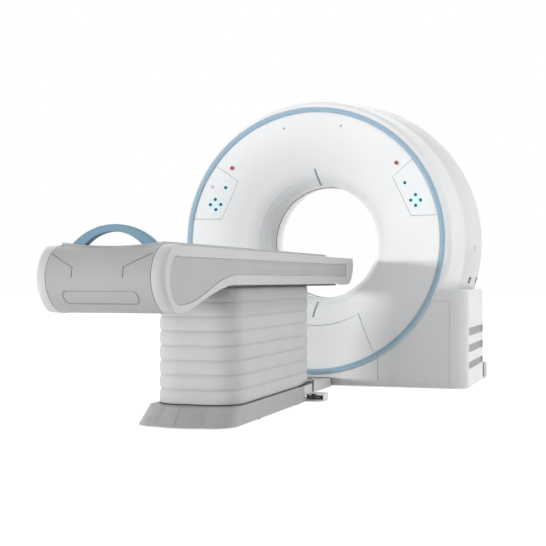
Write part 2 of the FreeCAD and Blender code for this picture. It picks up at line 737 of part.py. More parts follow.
slip_y = (hub_end_y - 24.0, hub_end_y)
slip_out_r = seat_r + 100.0


def brush_block():
    """Fixed brushes on the slip ring, on an arm from the main frame's rear."""
    y = slip_y[1] + 14
    arm = box((-60, 60), (frame_y + frame_t, y + 22), (bore_z - slip_out_r - 45, bore_z - slip_out_r - 5))
    bar = box((-60, 60), (y, y + 22), (bore_z - slip_out_r - 10, bore_z - slip_out_r + 155))
    parts = [arm, bar]
    for i in range(5):
        z = bore_z - slip_out_r + 9 + 28 * i
        parts.append(box((-45, 45), (slip_y[1] + 2.5, y + 2), (z, z + 14)))
    return fuse(parts)


fan_x = base_half_x - 165.0     # inner face of the fan frames
fan_at = (frame_y - 160.0, 300.0)


def fan_shrouds():
    """Two cooling fans' frames behind the side grilles, each with a motor on four struts."""
    x0, (cy, cz) = fan_x, fan_at
    half = fan_r + 30
    plate = prism_x(rounded_rect((cy - half, cy + half), (cz - half, cz + half), 18), x0, x0 + 55)
    plate = plate.cut(rod(V(x0 - 5, cy, cz), axis_x, 80, fan_r + 8))
    reach = fan_r + 9
    struts = [box((x0, x0 + 8), (cy - reach, cy + reach), (cz - 6, cz + 6)),
              box((x0, x0 + 8), (cy - 6, cy + 6), (cz - reach, cz + reach))]
    motor = rod(V(x0, cy, cz), axis_x, 16, 34)
    shaft = rod(V(x0 + 16, cy, cz), axis_x, 24, fan_shaft_r)
    stand = box((rail_x + 20, x0 + 30), (cy - 70, cy + 70), (rail_top_z, rail_top_z + 12))
    web = box((x0, x0 + 12), (cy - 70, cy + 70), (rail_top_z + 12, cz - half + 2))
    return both(fuse([plate] + struts + [motor, shaft, stand, web]))


def fan():
    """Seven raked blades on a hub, for the right-hand side."""
    x0, (cy, cz) = fan_x + 18, fan_at
    parts = [rod(V(x0, cy, cz), axis_x, 30, 38).cut(rod(V(x0 - 1, cy, cz), axis_x, 32, fan_shaft_r + running))]
    for i in range(7):
        blade = box((x0 + 13, x0 + 16), (cy - 26, cy + 26), (cz + 34, cz + fan_r))
        blade.rotate(V(x0 + 14.5, cy, cz), axis_z, 28)
        blade.rotate(V(x0, cy, cz), axis_x, 360.0 / 7 * i)
        parts.append(blade)
    return fuse(parts)


# ---------------------------------------------------------------- rotor

def rotor_drum():
    """Cast disc with a stiff rim, a rear hub for the bearing and ribs between them."""
    d0, d1 = disc_y, disc_y + disc_t
    rim = rotor_r - 25
    body = spin(((hub_in_r, d0), (rim, d0), (rim, d0 - 70), (rotor_r, d0 - 70), (rotor_r, d1), (hub_out_r, d1),
                 (hub_out_r, slip_y[0]), (hub_out_r + 40, slip_y[0]), (hub_out_r + 40, slip_y[1]),
                 (hub_in_r, slip_y[1])))
    ribs = around(box((-8, 8), (d1, bearing_y[0] - 15), (bore_z + hub_out_r - 2, bore_z + magnet_r - 38)), 12, first=15)
    lightening = rod(V(0, d0 - 90, bore_z + (magnet_r + rim) / 2), axis_y, 300, 38)
    return fuse([body] + ribs).cut(Part.makeCompound(around(lightening, 12, first=15)))


def xray_tube():
    """Tube housing lying along the bore axis, with its exit port and two cable sockets."""
    z, r, y1 = bore_z + tube_pos, tube_can_r, disc_y
    can = rod(V(0, y1 - 250, z), axis_y, 230, r)
    ends = [Part.makeCone(r, r - 17, 20, V(0, y1 - 250, z), V(0, -1, 0)),
            Part.makeCone(r, r - 25, 20, V(0, y1 - 20, z), axis_y)]
    port = box((-62, 62), (scan_y - 35, scan_y + 35), (z - r - 3, z - 60))
    sockets = [rod(V(s * 0.66 * r, y1 - 80, z + 0.57 * r), V(s * 0.5, 0, 0.86), 62, 26) for s in (-1, 1)]
    return fuse([can] + ends + [port] + sockets)


def collimator():
    z0, z1 = bore_z + bore_r + 35, bore_z + tube_pos - tube_can_r - 5
    body = prism_y(((-150, z0), (150, z0), (100, z1), (-100, z1)), scan_y - 50, scan_y + 50)
    foot = box((-95, 95), (scan_y + 50, disc_y), (max(z0, bore_z + hub_in_r + 5), z1 - 5))
    slot = box((-80, 80), (scan_y - 18, scan_y + 18), (z0 - 5, z1 + 5))
    return fuse([body, foot]).cut(slot)


focus = V(0, 0, bore_z + focus_r)


def fan_sector(r0, r1, y0, y1, half_angle):
    """Part of a ring centred on the focal spot, opening downwards."""
    s, c = math.sin(math.radians(half_angle)), math.cos(math.radians(half_angle))
    fz = focus.z
    return prism_y(((-r0 * s, fz - r0 * c), ((0, fz - r0), (r0 * s, fz - r0 * c)), (r1 * s, fz - r1 * c),
                    ((0, fz - r1), (-r1 * s, fz - r1 * c))), y0, y1)


def detector_arc():
    """Curved detector housing and the flange that bolts it to the disc."""
    r = detector_r
    return fuse([fan_sector(r, r + 48, scan_y - 80, scan_y + 80, 27), fan_sector(r + 32, r + 48, scan_y + 80, disc_y, 26)])


def data_modules():
    """Readout boxes side by side along the back of the detector."""
    out = []
    r = detector_r + 48 + seat_gap
    for i in range(11):
        block = box((-42, 42), (scan_y - 70, scan_y + 70), (focus.z - r - module_depth, focus.z - r))
        block.rotate(focus, axis_y, (i - 5) * 4.7 * 1060 / detector_r)
        out.append(block)
    return out


tank_x = (lay(0.323), rotor_r - 60.0)


def generator():
    """High-voltage tank with cooling ribs."""
    x0, x1 = -tank_x[1], -tank_x[0]
    y0 = disc_y - 300
    tank = box((x0, x1), (y0, disc_y), (bore_z - tank_half_z, bore_z + tank_half_z))
    corners = [e for e in tank.Edges if abs(e.tangentAt(e.FirstParameter).y) > 0.9]
    tank = tank.makeFillet(14, corners)
    ribs = [box((x0 + 20, x1 - 15), (y0 - 12, y0), (bore_z + z, bore_z + z + 8)) for z in range(-160, 130, 40)]
    return fuse([tank] + ribs)


def cooling_unit():
    """Oil cooler with a stack of fins between two end plates."""
    (x0, x1), h = tank_x, tank_half_z
    y0 = disc_y - cooler_depth
    tank = box((x0, x1), (y0, disc_y), (bore_z - h, bore_z + h))
    fins = [box((x0 + 10, x1 - 10), (y0 - 60, y0), (bore_z + z - 2.5, bore_z + z + 2.5)) for z in range(-160, 170, 32)]
    ends = [box((x, x + 8), (y0 - 60, y0), (bore_z - h + 6, bore_z + h - 6)) for x in (x0 + 2, x1 - 10)]
    return fuse([tank] + fins + ends)


def slip_ring():
    """Disc of contact tracks on the hub's rear flange."""
    y0, y1 = slip_y[0], slip_y[1] - 4
    r_in = hub_out_r + 40.1
    steps = [(r_in, y0), (slip_out_r, y0), (slip_out_r, y1)]
    for i in range(5):
        r = slip_out_r - 6 - 28.0 * i
        steps += [(r, y1), (r, y1 + 6), (r - 20, y1 + 6), (r - 20, y1)]
    return spin(tuple(steps + [(r_in, y1)]))


# ---------------------------------------------------------------- couch foot and lifting scissor

bracket_x = (arm_a_x + arm_t / 2 + side_play, arm_a_x + arm_t / 2 + side_play + 14.0)
channel_b = arm_b_x - arm_t / 2 - side_play             # mouth of the lower channels
channel_a = arm_a_x + arm_t / 2 + side_play             # mouth of the upper channels
channel_y = (pivot_y - arm_length - 25.0, pivot_y - arm_length + 220.0)
channel_h = wheel_r + 0.5
plate_x = bracket_x[1] + 14.0
couch_anchors = [(x, pivot_y + y) for x in (-130, 130) for y in (-880, -110)]


def channel(side, mouth, deep, z):
    """A C-channel that opens towards the arms, its web at the far side."""
    t, h, g = channel_t, channel_h, side_play + wheel_w
    span = sorted((side * mouth, side * (mouth + deep * (g + t))))
    web = sorted((side * (mouth + deep * (g + 2)), side * (mouth + deep * (g + t))))
    return [box(web, channel_y, (z - h - t, z + h + t)), box(span, channel_y, (z - h - t, z - h)),
            box(span, channel_y, (z + h, z + h + t))]


def couch_base_frame():
    """Floor plate with the fixed pivot brackets and the channels of the lower rollers."""
    y0, y1 = pivot_y - arm_length - 88, pivot_y + 78
    parts = [prism_z(rounded_rect((-plate_x, plate_x), (y0, y1), 20), 0, 14)]
    cuts = [rod(V(x, y, -5), axis_z, 30, couch_anchor_r) for x, y in couch_anchors]
    for s in (-1, 1):
        b0, b1 = bracket_x
        bracket = prism_x(((pivot_y - 42, 14), (pivot_y + 42, 14), (pivot_y + 30, pivot_z),
                           ((pivot_y, pivot_z + 30), (pivot_y - 30, pivot_z))), b0, b1)
        parts.append(bracket if s > 0 else mirror_x(bracket))
        parts += channel(s, channel_b, -1, pivot_z)
        foot = sorted((s * (channel_b - 22), s * (channel_b - 2)))
        parts.append(box(foot, channel_y, (14, pivot_z - channel_h - channel_t)))
        cuts.append(rod(V(s * (b0 - 30), pivot_y, pivot_z), V(s, 0, 0), 60, pin_r + running))
        for y in (y0 + 260, y1 - 330):
            parts.append(box(sorted((s * (plate_x - 2), s * (skirt_half - cover_t - 2))), (y, y + 40), (0, 10)))
    return fuse(parts).cut(Part.makeCompound(cuts))


def scissor_bar(x_mid, bores):
    """One flat bar with round ends, lying from the fixed pivot towards the foot end."""
    y0, y1 = pivot_y, pivot_y - arm_length
    bar = prism_x(((y0, pivot_z - arm_half), ((y0 + arm_half, pivot_z), (y0, pivot_z + arm_half)),
                   (y1, pivot_z + arm_half), ((y1 - arm_half, pivot_z), (y1, pivot_z - arm_half))),
                  x_mid - arm_t / 2, x_mid + arm_t / 2)
    cuts = [rod(V(x_mid - 20, pivot_y - arm_length * f, pivot_z), axis_x, 40, r) for f, r in bores]
    return bar.cut(Part.makeCompound(cuts))


def tilt_a(shape):
    """Turns what lies along the floor to the rest angle of the rising arms."""
    shape.rotate(V(0, pivot_y, pivot_z), axis_x, -rest_angle)
    return shape


def tilt_b(shape):
    """The crossing arms fall from the upper pivot towards the lower rollers."""
    shape.translate(V(0, 0, lift_height))
    shape.rotate(V(0, pivot_y, upper_pivot_z), axis_x, rest_angle)
    return shape


def cross_tie(distance, x_mid):
    """A round tie between the two bars of a pair."""
    half = x_mid - arm_t / 2
    return rod(V(-half, pivot_y - distance, pivot_z), axis_x, 2 * half, 19)


def scissor_arms_a():
    """Outer pair of arms, joined by two cross tubes."""
    bar = scissor_bar(arm_a_x, ((0, pin_r), (0.5, pin_r), (1, pin_r)))
    ties = [cross_tie(95, arm_a_x), cross_tie(arm_length - 95, arm_a_x)]
    return tilt_a(fuse(list(both(bar)) + ties))


def scissor_arms_b():
    """Inner pair of arms. The bores at the top and the middle run on pins."""
    bar = scissor_bar(arm_b_x, ((0, pin_r + running), (0.5, pin_r + running), (1, pin_r)))
    return tilt_b(fuse(list(both(bar)) + [cross_tie(95, arm_b_x)]))


def pins_a():
    """Pins fixed in the outer arms: lower pivots and middle pivots."""
    low = rod(V(arm_a_x - arm_t / 2, pivot_y, pivot_z), axis_x, bracket_x[1] + 1 - arm_a_x + arm_t / 2, pin_r)
    start = arm_b_x - arm_t / 2 - side_play
    mid = rod(V(start, pivot_y - arm_length / 2, pivot_z), axis_x, arm_a_x + arm_t / 2 + side_play - start, pin_r)
    return both(tilt_a(low)) + both(tilt_a(mid))


def rollers_a():
    """Upper rollers with stub axles in the outer arms."""
    y = pivot_y - arm_length
    wheel = rod(V(channel_a + 0.5, y, pivot_z), axis_x, wheel_w, wheel_r)
    axle = rod(V(arm_a_x - arm_t / 2, y, pivot_z), axis_x, arm_t + side_play + 2, pin_r)
    return both(tilt_a(fuse([wheel, axle])))


def rollers_b():
    """Lower rollers with stub axles in the inner arms."""
    y = pivot_y - arm_length
    wheel = rod(V(channel_b - 0.5 - wheel_w, y, pivot_z), axis_x, wheel_w, wheel_r)
    axle = rod(V(channel_b - 2, y, pivot_z), axis_x, arm_t + side_play + 2, pin_r)
    return both(tilt_b(fuse([wheel, axle])))


def lift_drive():
    """Geared motor and the screw it turns, lying on the floor plate."""
    y, z = pivot_y - 175, 80.0
    gearbox = box((-50, 50), (y - 55, y), (14, 128))
    edges = [e for e in gearbox.Edges if abs(e.tangentAt(e.FirstParameter).y) > 0.9]
    gearbox = gearbox.makeFillet(12, edges)
    motor = rod(V(0, y - 285, z), axis_y, 230, 42)
    end = pivot_y - arm_length + 200
    screw = rod(V(0, end, z), axis_y, y - 285 - end, 13)
    block = box((-34, 34), (end - 14, end + 14), (14, 112))
    return fuse([gearbox, motor, screw, block])


toe_y = bellows_y[0] - 179.0
skirt_rear_y = pivot_y - 100.0
skirt_half = bellows_half_x + 27.0


def skirt_plan(z, half, front, round_r, rear):
    """Plan of the couch foot at one height: bowed front with round corners, square rear."""
    side = front + round_r
    k = round_r * (1 - math.sqrt(0.5))
    bow = 22.0
    return wire(lambda x, y: V(x, y, z),
                (-half, rear), (half, rear), (half, side), ((half - k, side - round_r + k), (half - round_r, front + 6)),
                ((0, front - bow), (-half + round_r, front + 6)), ((-half + k, side - round_r + k), (-half, side)))


def couch_base_cover():
    """Flared skirt with a ledge round the bellows, open at the rear, with a seam down its toe."""
    t, h, y = cover_t, skirt_half, toe_y
    levels = ((floor_gap, h, y), (40, h - 6, y + 42), (skirt_top_z, h - 16, y + 99))
    outer = Part.makeLoft([skirt_plan(z, a, b, 130, skirt_rear_y) for z, a, b in levels], True, True)
    within = [skirt_plan(z, a - t - 1, b + t + 1, 124, skirt_rear_y + 10)
              for z, a, b in ((floor_gap - 0.5, h, y), (40, h - 6, y + 42), (skirt_top_z - t - 1, h - 15, y + 93))]
    skin = [skirt_plan(z, a - 2, b + 2, 128, skirt_rear_y - 2) for z, a, b in levels]
    groove = box((-22, -20), (y - 100, y + 150), (0, 130)).cut(Part.makeLoft(skin, True, True))
    m = bellows_half_x - bellows_draw - 8
    mouth = prism_z(rounded_rect((-m, m), (bellows_y[0] + bellows_draw + 8, skirt_rear_y + 150), 84), 60, 120)
    return outer.cut(Part.makeLoft(within, True, True)).cut(mouth).cut(groove)


def bellows():
    """Pleated bellows: each fold swells between two drawn-in edges."""
    (y0, y1), (z0, z1) = bellows_y, bellows_z
    fold = (z1 - z0) / bellows_folds

    def outline(inset):
        x, low, high = bellows_half_x - inset, y0 + inset, y1 - inset
        f, r = bellows_front_r - inset, bellows_rear_r - inset
        m, n = f * (1 - math.sqrt(0.5)), r * (1 - math.sqrt(0.5))
        return ((-x + f, low), (x - f, low), ((x - m, low + m), (x, low + f)),
                (x, high - r), ((x - n, high - n), (x - r, high)),
                (-x + r, high), ((-x + n, high - n), (-x, high - r)),
                (-x, low + f), ((-x + m, low + m), (-x + f, low)))

    def plan(inset, z):
        return wire(lambda a, b: V(a, b, z), *outline(inset))

    sections = [plan(bellows_draw, z0)]
    for i in range(bellows_folds):
        base = z0 + i * fold
        sections += [plan(1.5, base + 0.18 * fold), plan(0, base + 0.5 * fold), plan(1.5, base + 0.82 * fold),
                     plan(bellows_draw, base + fold)]
    outer = Part.makeLoft(sections, True, True)
    return outer.cut(prism_z(outline(bellows_draw + 5), z0 - 1, z1 + 1))


link_y = (pivot_y + 78.0, -95.0)


def link_beam():
    """Box beam that ties the couch foot to the gantry, with a flat tongue that reaches the floor frame."""
    y0, y1 = link_y
    body = box((-110, 110), (y0, y1), (0, 52))
    body = body.cut(box((-98, 98), (y0 - 10, y1 + 10), (8, 44)))
    tongue = [box((-60, 60), (y1 - 60, 50 - seat_gap), (0, floor_gap - seat_gap)),
              box((-60, 60), (40, 50 - seat_gap), (0, rail_top_z - 15))]
    return fuse([body] + tongue)


def link_cover():
    """Covers over the link: a closed box beside the couch and a sloping plate up to the gantry."""
    t, half = cover_t, 150.0
    y0, y1 = link_y[0] + 133, link_y[0] + 329
    hood = box((-half, half), (y0, y1), (2, 87)).cut(box((-half + t, half - t), (y0 + t, y1 - t), (-1, 87 - t)))
    hood = hood.cut(box((-98, 98), (y0 - 1, y1 + 1), (-1, 60))).cut(box((-112, 112), (y0 - 1, y1 + 1), (-1, 54)))
    p0, p1 = y1 + 14, -60.0
    plate = prism_x(((p0, 2), (p1, 2), (p1, 40), ((p1 - 6, 54), (p1 - 22, 60)), (p0, 78)), -half, half)
    hollow = prism_x(((p0 - 1, -1), (p1 - t, -1), (p1 - t, 40), (p1 - 24, 60 - t), (p0 - 1, 78 - t)), -half + t, half - t)
    hollow = hollow.fuse(box((-62, 62), (p1 - t - 1, p1 + 1), (-1, floor_gap)))
    rest = box((-90, 90), (p0 + 100, p0 + 106), (52 + seat_gap, 72))
    hood_rest = box((-90, 90), (y0 + 90, y0 + 96), (52 + seat_gap, 87 - t))
    return fuse([hood, hood_rest]), fuse([plate.cut(hollow), rest])


def pedal_housing():
    """Foot switch beside the couch foot: a low tray with a guard over the treadle."""
    x0, x1 = plate_x + seat_gap, plate_x + 174
    y0, y1 = pivot_y - 65, pivot_y + 60
    tray = prism_z(rounded_rect((x0, x1), (y0, y1), 30), 0, 12)
    guard = prism_z(rounded_rect((x1 - 114, x1), (y0, y1), 30), 12, 44)
    guard = guard.cut(prism_z(rounded_rect((x1 - 106, x1 - 8), (y0 - 25, y1 - 8), 22), 11, 36))
    pin = rod(V(x1 - 107, y1 - 28, 25), axis_x, 100, pedal_pin_r)
    return fuse([tray, guard, pin])


def foot_pedal():
    """Rocking treadle on the housing's pin."""
    x1, y = plate_x + 174, pivot_y + 32
    pad = prism_x(((y - 96, 20), (y + 4, 20), ((y + 9, 25), (y + 4, 30)), (y - 96, 30), ((y - 101, 25), (y - 96, 20))),
                  x1 - 88, x1 - 26)
    return pad.cut(rod(V(x1 - 110, y, 25), axis_x, 110, pedal_pin_r + running))


# ---------------------------------------------------------------- couch top

def nose_curve(shift, depth):
    """The foot-end nose in side view, from underside to top, some way inside the full shape."""
    heart_y, heart_z = 140.0, couch_low_z + 32
    points = []
    for y, z in ((110, -137.5), (53, -101), (14, -50), (0, 2), (12, 50), (44, 95.5), (92, 126)):
        y += shift * (heart_y - y) / heart_y
        reach = math.hypot(heart_y - y, z)
        points.append((nose_y + y + (heart_y - y) * depth / reach, heart_z + z - z * depth / reach))
    return points


def shell_outline(nose, top, low):
    """Side view of the couch: rounded head end, straight underside, S curve and foot-end nose."""
    e, s = couch_end_y, straight_end_y
    drop = low - couch_low_z
    curve = [(s - 160, low - 11), (s - 330, low - 43), (s - 500, low - 84), (s - 660, barrel_low_z + drop)]
    curve += nose_curve(nose, 0) + [(nose_y + 177, top)]
    return ((e, top), ((e + 9, top - 54), (e - 15, top - 102)), ((e - 69, low + 14), (e - 175, low)), (s, low),
            curve)


def inset_outline(gap):
    """The grey panel inside the light frame of each side."""
    e, s, n, g = couch_end_y, straight_end_y, nose_y, gap
    high, low = couch_top_z - 42 - g, couch_low_z + 47 + g
    curve = [(s - 110, low - 10), (s - 270, low - 45), (s - 430, low - 91), (s - 570, low - 122), (s - 670, low - 128)]
    head, r, k = e - 180 - g, 16.0, 4.7
    return ((head - r, high), ((head - k, high - k), (head, high - r)), (head, low + r),
            ((head - k, low + k), (head - r, low)), (s + 10, low), curve,
            ((n + 100 + g, low - 95), (n + 72 + g, low - 30)), ((n + 82 + g, high - 42), (n + 177, high - 4)))


def side_shells():
    """Moulded side shells: a rounded rim at the foot end, a recess for the grey panel."""
    x0, x1 = shell_in_x, couch_half_x
    top, low = couch_top_z, couch_low_z
    stations = ((x0, 0, top + 2, low - 2), (x1 - 25, 3, top + 2, low - 2), (x1 - 10, 12, top + 1, low - 1),
                (x1, 28, top, low))
    wires = [wire(lambda y, z, x=x: V(x, y, z), *shell_outline(a, b, c)) for x, a, b, c in stations]
    body = Part.makeLoft(wires, True, False)
    recess = prism_x(inset_outline(0), x1 - 6, x1 + 5)
    pocket = prism_x(inset_outline(10), x0 - 5, x1 - 12)
    return both(body.cut(recess).cut(pocket))


def side_insets():
    """Grey panels let into the side shells, each with two long grooves."""
    x1, s, e = couch_half_x, straight_end_y, couch_end_y
    z = couch_top_z
    panel = prism_x(inset_outline(couch_gap_line), x1 - 6, x1 - 2.5)
    grooves = [box((x1 - 4, x1), (s + 140, e - 625), (z - 57, z - 54.5)),
               box((x1 - 4, x1), (s + 140, e - 945), (z - 97, z - 94.5))]
    return both(panel.cut(Part.makeCompound(grooves)))


def barrel_outline(inset):
    """Foot-end cover in side view: top, nose and the underside that rises under the couch."""
    i, s, b, low = inset, straight_end_y, barrel_low_z, couch_low_z
    under_side = [(s - 660, b + i), (s - 500, low - 84 + i), (s - 330, low - 43 + i), (s - 160, low - 11 + i)]
    return ((nose_y + barrel_top_run, couch_top_z - 1 - i), list(reversed(nose_curve(0, i))) + under_side + [(s - 6, low + i)])


def barrel_cover():
    """Foot-end drum with a long rounded access panel and two bent styling grooves."""
    x, n, s = shell_in_x - couch_gap_line, nose_y, straight_end_y
    run, mid, top = barrel_top_run, couch_low_z + 12, couch_top_z
    outer = prism_x(barrel_outline(0) + ((s - 6, mid), (n + run, mid)), -x, x)
    inner = prism_x(barrel_outline(cover_t) + ((s + 90, mid - 2), (s + 90, top + 16), (n + run + 6, top + 16)), -x - 5, x + 5)
    shell = outer.cut(inner)
    depth = prism_x(barrel_outline(cover_t * 0.65) + ((s - 6, mid), (n + run, mid)), -x - 5, x + 5)
    line = 4.0
    front = (n - 50, n + 142)
    b = barrel_low_z
    lid_x, lid_z = x - 64, (b + 39, b + 95)
    lid = prism_y(rounded_rect((-lid_x, lid_x), lid_z, 24), *front)
    lid = lid.cut(prism_y(rounded_rect((-lid_x + line, lid_x - line), (lid_z[0] + line, lid_z[1] - line), 24 - line),
                          front[0] - 1, front[1] + 1))
    bend = prism_y(((x - 123, b + 148), (x - 118, b + 148), (x - 117.5, b + 189), (x - 9, b + 244), (x - 11, b + 249),
                    (x - 122, b + 193)), *front)
    marks = [m.cut(depth) for m in (lid, bend, mirror_x(bend))]
    return shell.cut(Part.makeCompound(marks))


def couch_deck():
    """Top sheet between the side shells, slotted for the carriage, and the head-end wall."""
    x, e, z = shell_in_x - 0.5, couch_end_y, deck_z
    low = couch_low_z
    sheet = box((-x, x), (nose_y + 192, e - 9), (z, z + 5))
    slots = both(box((guide_x - 30, guide_x + 30), (nose_y + 202, e - 49), (z - 4, z + 11)))
    wall = prism_x(((e - 9, z + 5), ((e - 1, z - 34), (e - 21, z - 68)), ((e - 71, low + 18), (e - 165, low + 6)),
                    (e - 165, low + 11), ((e - 69, low + 24), (e - 27, z - 66)), ((e - 9, z - 34), (e - 15, z + 5))), -x, x)
    return fuse([sheet.cut(Part.makeCompound(slots)), wall])


frame_y_span = (nose_y + 217.0, couch_end_y - 175.0)


def couch_frame():
    """Welded couch frame: side rails, cross members, the plate over the bellows and the upper pivots' hangers."""
    y0, y1 = frame_y_span
    out_x = shell_in_x - 2
    low = plate_z + 12
    pl = (pivot_y - arm_length - 90, pivot_y + 80)
    parts = list(both(box((out_x - 46, out_x), (y0, y1), (low, deck_z))))
    for y in (y0 + 20, straight_end_y - 10, pl[0] + 200, pl[0] + 650, pl[1] - 10, (pl[1] + y1) / 2, y1 - 20):
        parts.append(box((-out_x + 46, out_x - 46), (y - 20, y + 20), (low, guide_z)))
    plate_half = out_x - 40
    parts.append(box((-plate_half, plate_half), pl, (plate_z, low)))
    parts += both(box((100, 140), (nose_y + cover_t + seat_gap + 0.3, y0 + 10), (couch_low_z + 28, couch_low_z + 36)))
    b1 = channel_b
    for s in (-1, 1):
        parts.append(box(sorted((s * (b1 - 14), s * b1)), (pivot_y - 36, pivot_y + 36), (upper_pivot_z - 30, plate_z + 2)))
        parts += channel(s, channel_a, 1, upper_pivot_z)
        hanger = sorted((s * channel_a, s * (channel_a + side_play + wheel_w + channel_t)))
        parts.append(box(hanger, channel_y, (upper_pivot_z + channel_h + channel_t, plate_z + 2)))
        parts.append(rod(V(s * (b1 - 14), pivot_y, upper_pivot_z), V(s, 0, 0), arm_b_x + arm_t / 2 - b1 + 14, pin_r))
    return fuse(parts)


def rail_profile(grow):
    """Section of a guide rail: wide foot, waist and head. Grown, it is the hollow of its blocks."""
    x, z, g = guide_x, guide_z, grow
    right = [(14, 0), (14, 6), (7, 9), (7, 14), (11, 17), (11, 23)]
    lift = [0, g, g, -g, -g, g]
    half = [(x + a + g, z + b + c) for (a, b), c in zip(right, lift)]
    return tuple(half + [(2 * x - a, b) for a, b in reversed(half)])


def guide_rails():
    """Two profiled rails for the table's carriage."""
    return both(prism_y(rail_profile(0), frame_y_span[0] + 10, frame_y_span[1] - 5))


def under_tray():
    """Dark tray under the couch, open over the bellows."""
    half, z = couch_half_x - 41, couch_low_z
    plate = prism_z(rounded_rect((-half, half), (straight_end_y + 5, couch_end_y - 265), 30), z - 11, z - 2.5)
    x = bellows_half_x - 18
    return plate.cut(prism_z(rounded_rect((-x, x), (bellows_y[0] + 20, bellows_y[1] - 18), 60), z - 20, z + 5))


carriage_h = table_z - table_t


def table_carriage():
    """Four guide blocks clasping the rails, bolted under the table."""
    blocks = []
    for y in (frame_y_span[0] + 85, frame_y_span[0] + 515):
        block = box((guide_x - 24, guide_x + 24), (y - 70, y + 70), (guide_z + 4, carriage_h))
        blocks += both(block.cut(prism_y(rail_profile(slide_gap), y - 80, y + 80)))
    return blocks


def tabletop():
    """Sliding table top: flat underside, hollowed upper face, rounded head end."""
    h, z, y0, y1 = table_half_x, table_z, table_foot_y, table_head_y
    body = prism_y(((-h + 46, z - table_t), (h - 46, z - table_t), (h, z - 13), (h, z), ((0, z - 17), (-h, z)),
                    (-h, z - 13)), y0, y1)
    plan = prism_z(((-h - 5, y0 - 5), (h + 5, y0 - 5), (h + 5, y1 - 70), ((h - 16, y1 - 18), (h - 70, y1 + 1)),
                    (-h + 70, y1 + 1), ((-h + 16, y1 - 18), (-h - 5, y1 - 70))), z - 70, z + 30)
    return body.common(plan)


def table_handle():
    """Arched grab handle across the foot end of the table."""
    y, z, h = (table_foot_y + 6, table_foot_y + 48), table_z, table_half_x
    a, b, low = h - 29, h - 98, z - 20
    rise, inner = low + 95, low + 64
    arch = prism_y(((-a, low), ((0, rise), (a, low)), (b, low), ((0, inner), (-b, low))), *y)
    for reach, radius in ((rise, 10.0), (inner, 4.0)):
        rims = [e for e in arch.Edges if abs(e.BoundBox.ZMax - reach) < 8 and e.BoundBox.YLength < 0.1]
        arch = arch.makeFillet(radius, rims)
    seat = tabletop()
    seat.translate(V(0, 0, seat_gap))
    return arch.cut(seat)


# ---------------------------------------------------------------- write every node

save("base_frame", base_frame())
save("leveling_feet", *leveling_feet())
save("main_frame", main_frame())
save("bearing_outer", bearing_outer())
save("bearing_inner", bearing_inner())
save("bearing_rollers", *bearing_rollers())
save("motor_stator", motor_stator())
save("motor_magnets", motor_magnets())
save("brush_block", brush_block())
shroud_right, shroud_left = fan_shrouds()
save("fan_shrouds", shroud_right, shroud_left)
save("fan_right", fan())
save("fan_left", mirror_x(fan()))
save("scan_window", scan_window())
save("front_cover", front_cover())
save("front_bore_ring", front_bore_ring())
save("rear_bore_ring", rear_bore_ring())
save("blue_trim_ring", *blue_trim_ring())
save("lower_front_panel", lower_front_panel())
save("fascia_panels", *fascia_panels())
save("outer_shell", outer_shell())
save("side_covers", *side_covers())
save("side_grilles", *side_grilles())
save("rear_cover", rear_cover())
save("rear_base_cover", rear_base_cover())
keys = panel_keys()
save("control_panels", *control_panels(Part.makeCompound(keys)))
save("panel_keys", *keys)
save("light_windows", *light_windows())
save("stop_button_right", stop_button())
save("stop_button_left", mirror_x(stop_button()))
save("rotor_drum", rotor_drum())
save("xray_tube", xray_tube())
save("collimator", collimator())
save("detector_arc", detector_arc())
save("data_modules", *data_modules())
save("generator", generator())
save("cooling_unit", cooling_unit())
save("slip_ring", slip_ring())
save("couch_base_frame", couch_base_frame())
save("couch_base_cover", couch_base_cover())
save("lift_drive", lift_drive())
save("scissor_arms_a", scissor_arms_a())
save("scissor_arms_b", scissor_arms_b())
save("pins_a", *pins_a())
save("rollers_a", *rollers_a())
save("rollers_b", *rollers_b())
save("bellows", bellows())
save("link_beam", link_beam())
save("link_cover", *link_cover())
save("pedal_housing", pedal_housing())
save("foot_pedal", foot_pedal())
save("couch_frame", couch_frame())
save("guide_rails", *guide_rails())
save("under_tray", under_tray())
save("side_shells", *side_shells())
save("side_insets", *side_insets())
save("barrel_cover", barrel_cover())
save("couch_deck", couch_deck())
save("table_carriage", *table_carriage())
save("tabletop", tabletop())
save("table_handle", table_handle())
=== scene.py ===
import bpy
import math
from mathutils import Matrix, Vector, noise


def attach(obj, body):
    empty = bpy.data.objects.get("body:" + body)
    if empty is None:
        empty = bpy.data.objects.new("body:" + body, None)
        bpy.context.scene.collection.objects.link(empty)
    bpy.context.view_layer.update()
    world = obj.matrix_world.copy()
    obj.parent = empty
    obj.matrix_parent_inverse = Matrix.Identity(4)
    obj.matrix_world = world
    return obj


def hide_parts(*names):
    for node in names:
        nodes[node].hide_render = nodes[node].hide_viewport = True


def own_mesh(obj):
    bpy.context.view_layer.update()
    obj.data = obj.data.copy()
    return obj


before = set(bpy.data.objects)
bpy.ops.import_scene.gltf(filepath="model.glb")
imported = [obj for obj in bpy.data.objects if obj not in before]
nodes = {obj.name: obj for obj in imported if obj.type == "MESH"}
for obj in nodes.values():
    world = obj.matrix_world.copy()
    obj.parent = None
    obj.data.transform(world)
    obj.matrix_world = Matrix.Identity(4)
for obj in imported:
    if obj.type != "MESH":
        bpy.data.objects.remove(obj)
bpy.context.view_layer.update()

MM = 0.001
ROW_Y = 1.071               # bore plane of the blue ring, along +Y from the object's middle
BORE_Z = 980.0


def at(x, y, z):
    """A point given in mm from the ring plane, in the row frame in metres."""
    return Vector((x * MM, y * MM + ROW_Y, z * MM))


# ------------------------------------------------------------------ camera

